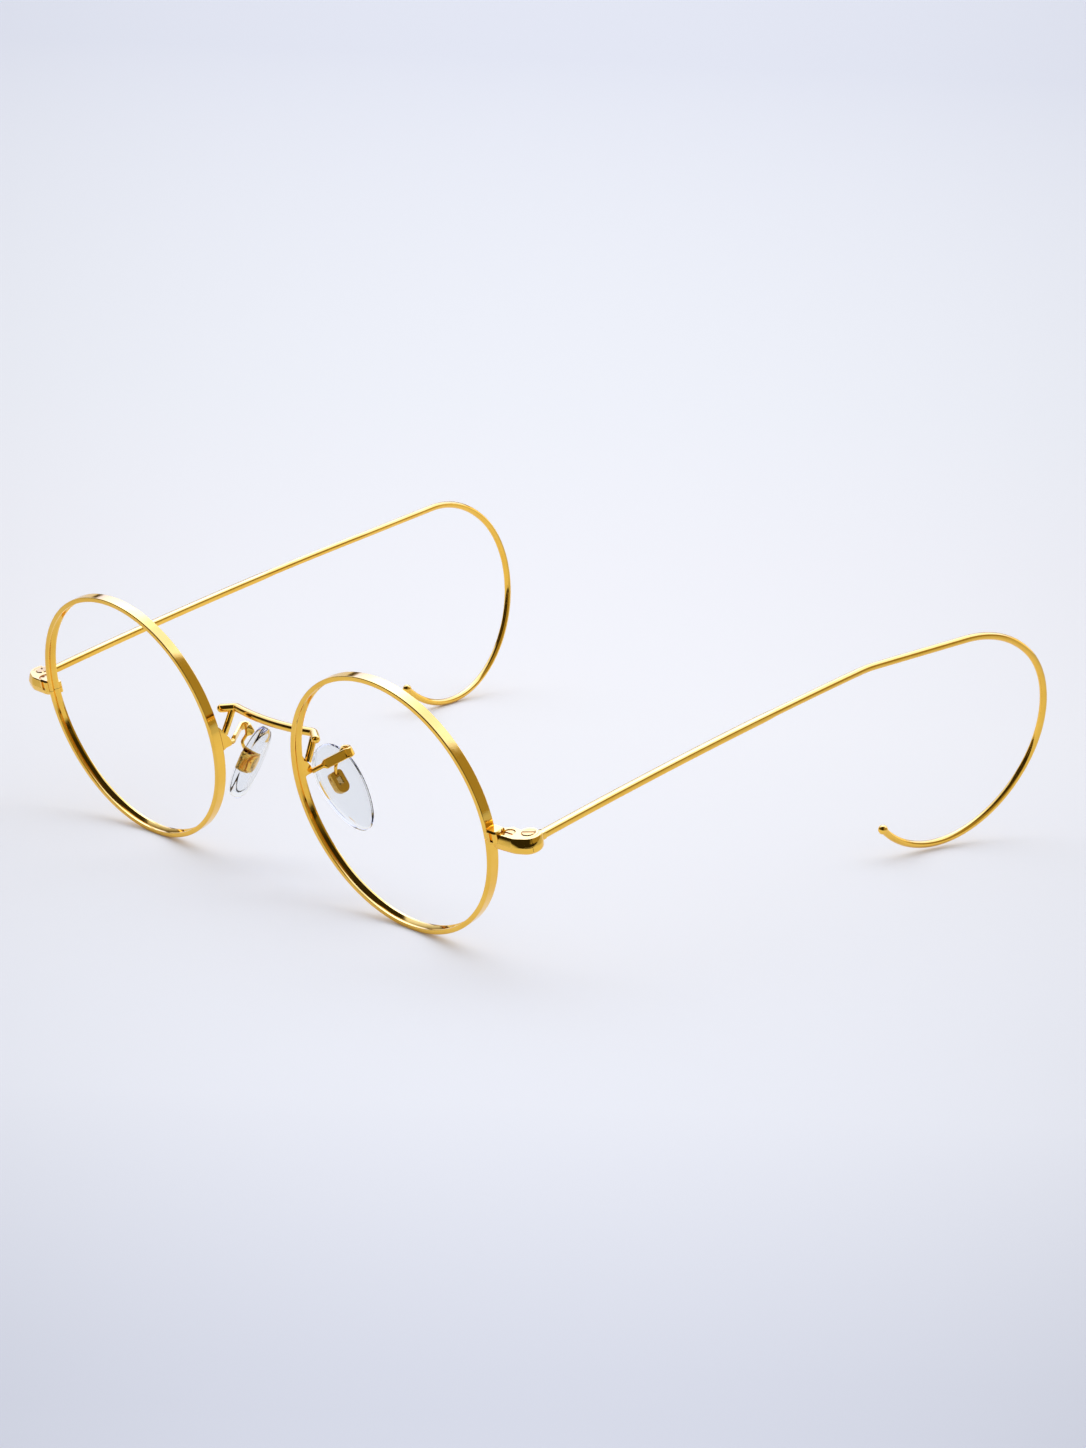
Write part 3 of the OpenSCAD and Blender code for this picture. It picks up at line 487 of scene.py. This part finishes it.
def wirePath(lean):
    t = templeSize
    soft = t["bendSoft"]
    start, run, count = t["barLength"] + t["taper"], t["shaft"] - soft, t["shaftSteps"]
    points = [bowPoint(start + run * i / count) for i in range(count + 1)]
    points += bent(points[-1], bendAt, onCurl((soft, 0), lean), t["bendSteps"])[1:]
    count = t["reachSteps"]
    points += [onCurl((soft + (t["reach"] - soft) * i / count, 0), lean) for i in range(1, count)]
    points += [onCurl(curlPoint(curlTurn * i / t["curlSteps"]), lean) for i in range(t["curlSteps"] + 1)]
    return points


def makeWire(side, sign):
    path = wirePath(templeSize["lean"][side])
    radius = templeSize["wire"] / 2
    wire = swept("templeWire_" + side, path, [radius] * len(path), circle(1), gold, sidePlace(sign))
    ride(wire, "temple_" + side, "gold", "temple_wire_" + side)


def makeTip(side, sign):
    # a ball, brazed to the wire where its flat is as wide as the wire
    lean, r, wireRadius = templeSize["lean"][side], templeSize["tip"] / 2, templeSize["wire"] / 2
    end, t = curlPoint(curlTurn), math.radians(curlTurn)
    onward = Vector((math.cos(t), -math.sin(t)))
    flat = math.sqrt(r * r - wireRadius * wireRadius)
    first, last = -math.asin(flat / r), math.pi / 2
    path, thick = [], []
    for i in range(templeSize["tipSteps"] + 1):
        a = first + (last - first) * i / templeSize["tipSteps"]
        path.append(onCurl(end + onward * (flat + r * math.sin(a)), lean))
        thick.append(max(r * math.cos(a), closedEnd))
    tip = swept("templeTip_" + side, path, thick, circle(1), gold, sidePlace(sign))
    ride(tip, "temple_" + side, "gold", "temple_tip_" + side)


# The bar's own skin, with full sides and soft edges, down to the wire at its end
barSize = {"width": 1.5, "height": 1.36, "from": -0.4, "cutAt": -0.25, "squareness": 3.0, "roundness": 2,
           "steps": 40, "taperSteps": 14, "sides": 40, "aim": 0.5, "sharpAngle": 60}


def barRing(s, halfX, halfY, power):
    # one ring of the bar, square to the bow
    ahead = (bowPoint(s + barSize["aim"]) - bowPoint(s - barSize["aim"])).normalized()
    across = (Vector((1, 0, 0)) - ahead * ahead.x).normalized()
    above = across.cross(ahead)
    ring = []
    for i in range(barSize["sides"]):
        t = 2 * math.pi * i / barSize["sides"]
        c, d = math.cos(t), math.sin(t)
        x, z = math.copysign(abs(c) ** (2 / power), c), math.copysign(abs(d) ** (2 / power), d)
        ring.append(bowPoint(s) + across * halfX * x + above * halfY * z)
    return ring


def makeBar(side, sign):
    b, t = barSize, templeSize
    w, h, r = b["width"] / 2, b["height"] / 2, t["wire"] / 2
    rings = [barRing(b["from"] + (t["barLength"] - b["from"]) * i / b["steps"], w, h, b["squareness"])
             for i in range(b["steps"])]
    for i in range(b["taperSteps"] + 1):
        s = t["barLength"] + t["taper"] * i / b["taperSteps"]
        g = (1 - math.cos(math.pi * i / b["taperSteps"])) / 2
        power = b["squareness"] + g * (b["roundness"] - b["squareness"])
        rings.append(barRing(s, w + g * (r - w), h + g * (r - h), power))
    bar = skin("templeBar_" + side, rings, gold, sidePlace(sign), b["sharpAngle"])
    ride(bar, "temple_" + side, "gold")


for side, sign in sides.items():
    makeWire(side, sign)
    makeTip(side, sign)
    makeBar(side, sign)
print("temples made")


# The bridge: a bowed wire with soft corners, angled stubs and round ends
bridgeSize = {"wire": 1.5, "inset": 0.2, "bow": 1, "back": 5.2, "up": 5.1, "stub": 2.7, "stubTurn": 36,
              "cornerSoft": 0.5, "steps": 48, "cornerSteps": 10, "endSteps": 10, "sides": 40}


def makeBridge():
    b = bridgeSize
    half, r = noseX - b["inset"], b["wire"] / 2
    bowRadius = (half * half + b["bow"] ** 2) / (2 * b["bow"])
    reach = math.asin(half / bowRadius)
    turn = math.radians(b["stubTurn"])
    onward = Vector((math.cos(turn), -math.sin(turn), 0))
    corner = Vector((half, b["back"], b["up"]))

    def bowAt(a):
        y = b["back"] - b["bow"] + bowRadius * (1 - math.cos(a))
        return Vector((bowRadius * math.sin(a), y, b["up"]))

    soft = reach - b["cornerSoft"] / bowRadius
    path = [bowAt(soft * i / b["steps"]) for i in range(b["steps"])]
    path += bent(bowAt(soft), corner, corner + b["cornerSoft"] * onward, b["cornerSteps"])
    path.append(corner + b["stub"] * onward)
    thick = [r] * len(path)
    for i in range(1, b["endSteps"] + 1):
        a = math.pi / 2 * i / b["endSteps"]
        path.append(corner + (b["stub"] + r * math.sin(a)) * onward)
        thick.append(max(r * math.cos(a), closedEnd))
    path = [Vector((-p.x, p.y, p.z)) for p in path[:0:-1]] + path
    bridge = swept("bridgeWire", path, thick[:0:-1] + thick, circle(1, b["sides"]), gold, frontPlace)
    ride(bridge, "front", "gold", "bridge")


makeBridge()
print("bridge made")


# The nose pads, the plates in their boxes and the arms; frontIn and backIn say how far a pad's faces draw in
padSize = {"length": 16.3, "width": 8, "thickness": 2.7, "boxSunk": 1.1, "lean": 32, "skew": 0.167,
           "boxMiddle": (-0.9, 1.2), "boxThickness": 1.5, "pinAlong": 1.05, "frontIn": 2.6, "backIn": 0.6,
           "backFrom": 0.5, "layers": 14, "sides": 96, "sharpAngle": 60,
           "pin": {"left": (noseX + 2.07, 6.2, -3.3), "right": (noseX + 1.4, 6.6, -5.1)},
           "toe": {"left": 1, "right": 18}}
plateSize = {"width": 0.9, "length": 1.34, "below": 1.53, "up": 0.52, "thickness": 0.12, "cut": 0.42,
             "ease": 0.03, "sharpAngle": 20}
# An arm's route starts at the rim's nose side; its shares say how far along each stretch a change comes
armSize = {"wire": 0.9, "stripHeight": 1.7, "stripThickness": 0.56, "stripRound": 0.2, "drop": 0.4,
           "turnRadius": {"left": 1.25, "right": 0.95}, "neckRise": (1.7, 1.75), "neck": 0.58,
           "neckSoft": 0.5, "neckFoot": 0.37, "twist": -18,
           "route": {"left": ((0.75, 2.5, -0.75), (1.45, 4.05, -0.42), (3.55, 8.15, 0.65)),
                     "right": ((0.75, 2.5, -0.95), (1.3, 4.05, -1.4), (3.6, 7.95, -0.9))},
           "wireShares": (0.6, 0.8), "bendShare": 0.03, "widenShare": 0.17,
           "stripShares": (0.4, 0.6, 0.8, 0.94), "narrowFrom": 0.25, "narrowShare": 0.4, "bendSteps": 4,
           "widenSteps": 8, "turnSteps": 24, "neckSteps": 8, "cornerSteps": 6}


def pinPlace(side):
    # the pad's own frame about its pin: x to the rear, y up its length, z out of its back
    toe, lean = math.radians(padSize["toe"][side]), math.radians(padSize["lean"])
    return (Matrix.Translation(padSize["pin"][side]) @ Matrix.Rotation(-toe, 4, "Z")
            @ Matrix.Rotation(-lean, 4, "Y")
            @ Matrix.Rotation(math.pi / 2, 4, "Z") @ Matrix.Rotation(math.pi / 2, 4, "X"))


def padPlace(side, sign):
    seat = padSize["thickness"] / 2 - padSize["boxSunk"]
    x, y = padSize["boxMiddle"]
    pinInPad = Vector((x, y + padSize["pinAlong"], seat + padSize["boxThickness"] / 2))
    return sidePlace(sign) @ pinPlace(side) @ Matrix.Translation(-pinInPad)


def padMargin(s):
    # how far a layer lies inside the outline, at s from -1 at the nose to 1 at the back
    if s < 0:
        return padSize["frontIn"] * (1 - math.sqrt(1 - s * s))
    away = max(0.0, (s - padSize["backFrom"]) / (1 - padSize["backFrom"]))
    return padSize["backIn"] * (1 - math.sqrt(1 - away ** 2))


def makePad(side, sign):
    p = padSize
    rings = []
    for j in range(2 * p["layers"] + 1):
        s = -math.cos(math.pi / 2 * j / p["layers"])
        halfWidth, halfLength = p["width"] / 2 - padMargin(s), p["length"] / 2 - padMargin(s)
        angles = [2 * math.pi * i / p["sides"] for i in range(p["sides"])]
        rings.append([Vector((halfWidth * math.cos(a) * (1 + p["skew"] * math.sin(a)),
                              halfLength * math.sin(a), s * p["thickness"] / 2)) for a in angles])
    pad = skin("clearPad_" + side, rings, clearPlastic, padPlace(side, sign), p["sharpAngle"])
    ride(pad, "pad_" + side, "clear", "nose_pad_" + side)


def makePlate(side, sign):
    # the plain plate in the box's window, with one lower corner cut off
    p = plateSize
    x, low, high = p["width"] / 2, -p["below"], p["length"] - p["below"]
    outline = [(-x, low + p["cut"]), (-x + p["cut"], low), (x, low), (x, high), (-x, high)]
    rings = []
    for up, grow in ((0, 0), (p["thickness"] - p["ease"], 0), (p["thickness"], p["ease"])):
        rings.append([Vector((a * (1 - grow / x), b + (grow if b < -x else -grow), p["up"] + up))
                      for a, b in outline])
    plate = skin("boxPlate_" + side, rings, paleGold, sidePlace(sign) @ pinPlace(side), p["sharpAngle"])
    ride(plate, "pad_" + side, "gold")


def eased(f):
    return f * f * (3 - 2 * f)


def shares(count):
    return [i / count for i in range(1, count + 1)]


def armPath(side):
    # points along the arm, each with its half height, half thickness and corner radius
    a = armSize
    p0, p1, p2 = (Vector(p) + Vector((noseX, 0, 0)) for p in a["route"][side])
    wire = Vector((a["wire"], a["wire"], a["wire"])) / 2
    flat = Vector((a["stripHeight"] / 2, a["stripThickness"] / 2, a["stripRound"]))
    neck = Vector((a["neck"], a["neck"], a["neck"])) / 2
    run = p2 - p1
    d = Vector((run.x, run.y, 0)).normalized()
    n = Vector((-d.y, d.x, 0))
    # the round wire from the bracket, and its widening into the strip
    further, late = (p0 + share * (p1 - p0) for share in a["wireShares"])
    bend = bent(late, p1, p1 + a["bendShare"] * run, a["bendSteps"])
    path = [(p, wire) for p in [p0, further] + bend]
    path += [(p1 + (a["bendShare"] + a["widenShare"] * f) * run, wire.lerp(flat, eased(f)))
             for f in shares(a["widenSteps"])]
    path += [(p1 + f * run, flat) for f in a["stripShares"]]
    # the turn back
    r = a["turnRadius"][side]
    for f in [0.0] + shares(a["turnSteps"]):
        t, sunk = math.pi * f, Vector((0, 0, a["drop"] * f))
        path.append((p2 + r * ((1 - math.cos(t)) * n + math.sin(t) * d) - sunk, flat))
    # the strip's end, narrowing into the neck that runs down to the pin
    end = path[-1][0]
    pin = Vector(padSize["pin"][side])
    rise = aimed((a["neckRise"][1], 0, a["neckRise"][0]), padSize["toe"][side], 0, -padSize["lean"])
    top = pin + rise
    u, v = (top - end).normalized(), -rise.normalized()
    beforeTop = top - a["neckSoft"] * u
    path += [(end + (a["narrowFrom"] + a["narrowShare"] * f) * (beforeTop - end), flat.lerp(neck, eased(f)))
             for f in shares(a["neckSteps"])]
    path += [(p, neck) for p in bent(beforeTop, top, top + a["neckSoft"] * v, a["neckSteps"])]
    path.append((pin - a["neckFoot"] * v, neck))
    return path


def armRing(here, along, size):
    # one ring square to the arm, its height towards z, with rounded corners; the flatter, the more twisted
    above = (Vector((0, 0, 1)) - along * along.z).normalized()
    h, w, r = size
    flatness = (h - w) / (armSize["stripHeight"] - armSize["stripThickness"]) * 2
    above = Matrix.Rotation(math.radians(armSize["twist"] * flatness), 3, along) @ above
    across = along.cross(above)
    ring = []
    for k, (cx, cy) in enumerate(((h, -w), (h, w), (-h, w), (-h, -w))):
        mx, my = cx - math.copysign(r, cx), cy - math.copysign(r, cy)
        for i in range(armSize["cornerSteps"]):
            t = math.radians(90 * k - 90 + 90 * (i + 0.5) / armSize["cornerSteps"])
            ring.append(here + above * (mx + r * math.cos(t)) + across * (my + r * math.sin(t)))
    return ring


def makeArm(side, sign):
    path = armPath(side)
    rings = []
    for i, (here, size) in enumerate(path):
        before, after = path[max(i - 1, 0)][0], path[min(i + 1, len(path) - 1)][0]
        rings.append(armRing(here, (after - before).normalized(), size))
    arm = skin("padArmStrip_" + side, rings, gold, sidePlace(sign))
    ride(arm, "front", "gold", "pad_arm_" + side)


for side, sign in sides.items():
    makeArm(side, sign)
    makePlate(side, sign)
    makePad(side, sign)
print("pads and their arms made")


# Pieces that keep their solid's shape, with softer edges: node, body, slot, metal, edge in millimetres
softPieces = (("joint_upper", "front", "gold", gold, 0.06), ("joint_lower", "front", "gold", gold, 0.06),
              ("bracket", "front", "gold", gold, 0.06), ("bridge_post", "front", "gold", gold, 0.06),
              ("closing_screw", "front", "deep_gold", deepGold, 0.03),
              ("hinge_screw", "front", "deep_gold", deepGold, 0.03),
              ("pad_box", "pad", "deep_gold", deepGold, 0.06),
              ("pad_pin", "pad", "deep_gold", deepGold, 0.03),
              ("pad_insert", "pad", "gold", gold, 0.05), ("temple_bar", "temple", "gold", gold, 0.05))
softRules = {"merge": 2e-6, "flatAngle": 1.5, "edgeAngle": 30, "segments": 3, "sharpAngle": 50}


def softened(node, body, slot, metal, edge, cut=None):
    # cut is a place and a direction: what lies past it is taken off
    me = nodes[node].data.copy()
    bm = bmesh.new()
    bm.from_mesh(me)
    bmesh.ops.remove_doubles(bm, verts=bm.verts, dist=softRules["merge"])
    if cut:
        parts = bm.verts[:] + bm.edges[:] + bm.faces[:]
        opened = bmesh.ops.bisect_plane(bm, geom=parts, plane_co=cut[0], plane_no=cut[1], clear_outer=True)
        border = [e for e in opened["geom_cut"] if isinstance(e, bmesh.types.BMEdge)]
        bmesh.ops.holes_fill(bm, edges=border)
    flat = math.radians(softRules["flatAngle"])
    bmesh.ops.dissolve_limit(bm, angle_limit=flat, verts=bm.verts, edges=bm.edges)
    bm.to_mesh(me)
    bm.free()
    ob = linked(node + "_soft", me)
    bevel = ob.modifiers.new("edges", "BEVEL")
    bevel.limit_method = "ANGLE"
    bevel.angle_limit = math.radians(softRules["edgeAngle"])
    bevel.width = edge / 1000
    bevel.segments = softRules["segments"]
    bevel.use_clamp_overlap = True
    settled(ob)
    finished(ob, metal, softRules["sharpAngle"])
    ride(ob, body, slot, node)


for side, sign in sides.items():
    # the solid bar ends where its own skin takes over
    place = sidePlace(sign)
    at, onward = bowPoint(barSize["cutAt"]), bowPoint(barSize["cutAt"] + 1)
    barCut = (place @ at, place @ onward - place @ at)
    for node, body, slot, metal, edge in softPieces:
        bodyName = body if body == "front" else f"{body}_{side}"
        cut = barCut if node == "temple_bar" else None
        softened(f"{node}_{side}", bodyName, slot, metal, edge, cut)
print("joints, boxes and bars made")


# The floor: pale paper with painted light falloff: its colour is set by distance from the camera's foot,
# brightest around the frame, and is painted darker to both sides
floorLook = {"far": 8.0, "nearest": 0.3, "sideShade": 2.4, "darkest": 0.3, "toneSpan": 3.0,
             "paperShadeTones": ((0.333, (0.68, 0.71, 0.8)), (0.424, (0.84, 0.865, 0.93)),
                       (0.627, (0.905, 0.92, 0.965)), (0.785, (0.89, 0.905, 0.955)),
                       (1.02, (0.863, 0.89, 0.945)), (2.73, (0.768, 0.8, 0.89))),
             "paperEnd": (0.11, 0.17), "paperEndAlong": (0.45, -0.893, 0.0)}
# The light: a big window on the far left, high up. The metal alone sees a lamp in it, the paper's far end,
# a warm wall and a dark room on the camera's side.
lightLook = {"windowHeading": 40.0, "windowUp": 58.0, "windowHalf": (1.45, 0.7), "windowEdge": (1.08, 0.92),
             "windowDepth": (0.0, 0.1), "leastDepth": 0.05, "windowStrength": 1.21, "ambient": 0.49,
             "softColour": (0.985, 0.98, 1, 1), "windowShine": 0.82, "windowColour": (1, 1.26, 3.3, 1),
             "lampAt": (-0.43, 0.41, 0.805), "lampStrength": 2.5, "lampSpread": 0.05,
             "room": 0.03, "roomColour": (1, 0.84, 0.4, 1), "warmWall": 0.38, "wallAt": (0.8, 0.6, 0.0),
             "wallSpan": (0.1, 0.55), "paper": 0.8, "paperUp": 0.27, "paperSoft": 0.03,
             "paperSpan": (0.2, 0.5), "paperColour": (0.97, 0.985, 1, 1), "tintSpan": (0.2, 0.8),
             "backdrop": (0.87, 0.9, 0.95, 1), "throughPads": 0.9}


def headed(heading, up=0.0):
    # the direction at a heading to the left of y, and at a height
    az, el = math.radians(heading), math.radians(up)
    return Vector((-math.sin(az) * math.cos(el), math.cos(az) * math.cos(el), math.sin(el)))


def rightOf(heading):
    az = math.radians(heading)
    return Vector((math.cos(az), math.sin(az), 0))


def makeFloor():
    look = floorLook
    me = bpy.data.meshes.new("floor")
    r = look["far"]
    me.from_pydata([(-r, -r, 0), (r, -r, 0), (r, r, 0), (-r, r, 0)], [], [(0, 1, 2, 3)])
    floor = linked("floor", me)
    material, tree, out = newMaterial("palePaper")
    spot = addNode(tree, "ShaderNodeTexCoord").outputs["Object"]
    foot = (*cameraSetup["place"][:2], 0.0)
    fromFoot = addNode(tree, "ShaderNodeVectorMath", {0: spot, 1: foot}, operation="SUBTRACT").outputs[0]
    away = dotted(tree, fromFoot, headed(cameraSetup["azimuth"]))
    aside = dotted(tree, fromFoot, rightOf(cameraSetup["azimuth"]))
    # painted shade: the paper's pale colour, darkened nearer and further away as if the light fell off
    ramp = addNode(tree, "ShaderNodeValToRGB", {"Fac": maths(tree, "DIVIDE", away, look["toneSpan"])})
    stops = ramp.color_ramp.elements
    stops.remove(stops[1])
    for i, (place, colour) in enumerate(look["paperShadeTones"]):
        stop = stops[0] if i == 0 else stops.new(place / look["toneSpan"])
        stop.position = place / look["toneSpan"]
        stop.color = (*colour, 1)
    # painted shade: the paper is darkened towards both sides of the view
    slant = maths(tree, "DIVIDE", aside, maths(tree, "MAXIMUM", away, look["nearest"]))
    dark = maths(tree, "MULTIPLY", maths(tree, "MULTIPLY", slant, slant), look["sideShade"])
    shade = maths(tree, "SUBTRACT", 1.0, maths(tree, "MINIMUM", dark, look["darkest"]))
    paperShadeTones = ramp.outputs["Color"]
    tint = addNode(tree, "ShaderNodeVectorMath", {0: paperShadeTones, "Scale": shade}, operation="SCALE")
    paper = addNode(tree, "ShaderNodeBsdfDiffuse", {"Color": tint.outputs[0]})
    # the metal sees the paper end in front of the frame
    beyond = dotted(tree, spot, look["paperEndAlong"])
    ended = ranged(tree, beyond, *look["paperEnd"], smooth=True)
    rays = tree.nodes.new("ShaderNodeLightPath").outputs
    unseen = maths(tree, "MULTIPLY", rays["Is Glossy Ray"], ended)
    room = addNode(tree, "ShaderNodeEmission", {"Color": lightLook["roomColour"],
                   "Strength": lightLook["room"]})
    tree.links.new(mixed(tree, unseen, paper, room).outputs[0], out.inputs["Surface"])
    me.materials.append(material)


def windowMask(tree, spot):
    look = lightLook
    middle, across = headed(look["windowHeading"], look["windowUp"]), rightOf(look["windowHeading"])
    depth = dotted(tree, spot, middle)
    safeDepth = maths(tree, "MAXIMUM", depth, look["leastDepth"])
    lit = ranged(tree, depth, *look["windowDepth"])
    for direction, half in zip((across, middle.cross(across)), look["windowHalf"]):
        offset = maths(tree, "ABSOLUTE", dotted(tree, spot, direction))
        share = maths(tree, "DIVIDE", offset, safeDepth)
        outer, inner = (half * edge for edge in look["windowEdge"])
        lit = maths(tree, "MULTIPLY", lit, ranged(tree, share, outer, inner, smooth=True))
    return lit


def makeWorld():
    look = lightLook
    world = bpy.data.worlds.new("studio")
    bpy.context.scene.world = world
    world.use_nodes = True
    tree = world.node_tree
    tree.nodes.clear()
    out = tree.nodes.new("ShaderNodeOutputWorld")
    rays = tree.nodes.new("ShaderNodeLightPath").outputs
    spot = addNode(tree, "ShaderNodeTexCoord").outputs["Generated"]
    lit = windowMask(tree, spot)
    window = maths(tree, "MULTIPLY", lit, look["windowStrength"])
    # what the metal alone sees
    offLamp = maths(tree, "SUBTRACT", 1.0, dotted(tree, spot, look["lampAt"]))
    lamp = maths(tree, "EXPONENT", maths(tree, "DIVIDE", offLamp, -look["lampSpread"]))
    up, edge = look["paperUp"], look["paperSoft"]
    low = ranged(tree, dotted(tree, spot, (0, 0, 1)), up + edge, up - edge, smooth=True)
    ahead = ranged(tree, dotted(tree, spot, headed(look["windowHeading"])), *look["paperSpan"], smooth=True)
    paper = maths(tree, "MULTIPLY", maths(tree, "MULTIPLY", low, ahead), look["paper"])
    wallward = dotted(tree, spot, look["wallAt"])
    wall = ranged(tree, wallward, *look["wallSpan"], 0.0, look["warmWall"], smooth=True)
    seen = maths(tree, "ADD", maths(tree, "MAXIMUM", wall, look["room"]), paper)
    shine = maths(tree, "ADD", seen, maths(tree, "MULTIPLY", lamp, look["lampStrength"]))
    shining = maths(tree, "MULTIPLY", window, look["windowShine"])
    tint = ranged(tree, maths(tree, "ADD", window, paper), *look["tintSpan"], smooth=True)
    roomColour = blended(tree, tint, look["roomColour"], look["paperColour"])
    shineColour = blended(tree, lit, roomColour, look["windowColour"])
    glossy = addNode(tree, "ShaderNodeBackground", {"Color": shineColour,
                     "Strength": maths(tree, "ADD", shining, shine)})
    # what lights the scene, and the pale backdrop that the camera sees, also through the pads
    soft = addNode(tree, "ShaderNodeBackground", {"Color": look["softColour"],
                   "Strength": maths(tree, "ADD", window, look["ambient"])})
    pale = addNode(tree, "ShaderNodeBackground", {"Color": look["backdrop"], "Strength": 1.0})
    bounces = maths(tree, "MINIMUM", rays["Transmission Depth"], 1.0)
    through = maths(tree, "MULTIPLY", bounces, look["throughPads"])
    clearWay = maths(tree, "MAXIMUM", rays["Is Camera Ray"], through)
    light = mixed(tree, rays["Is Glossy Ray"], soft, glossy)
    tree.links.new(mixed(tree, clearWay, light, pale).outputs[0], out.inputs["Surface"])


makeFloor()
makeWorld()
bpy.context.scene.view_settings.view_transform = "Standard"
print("stage made")
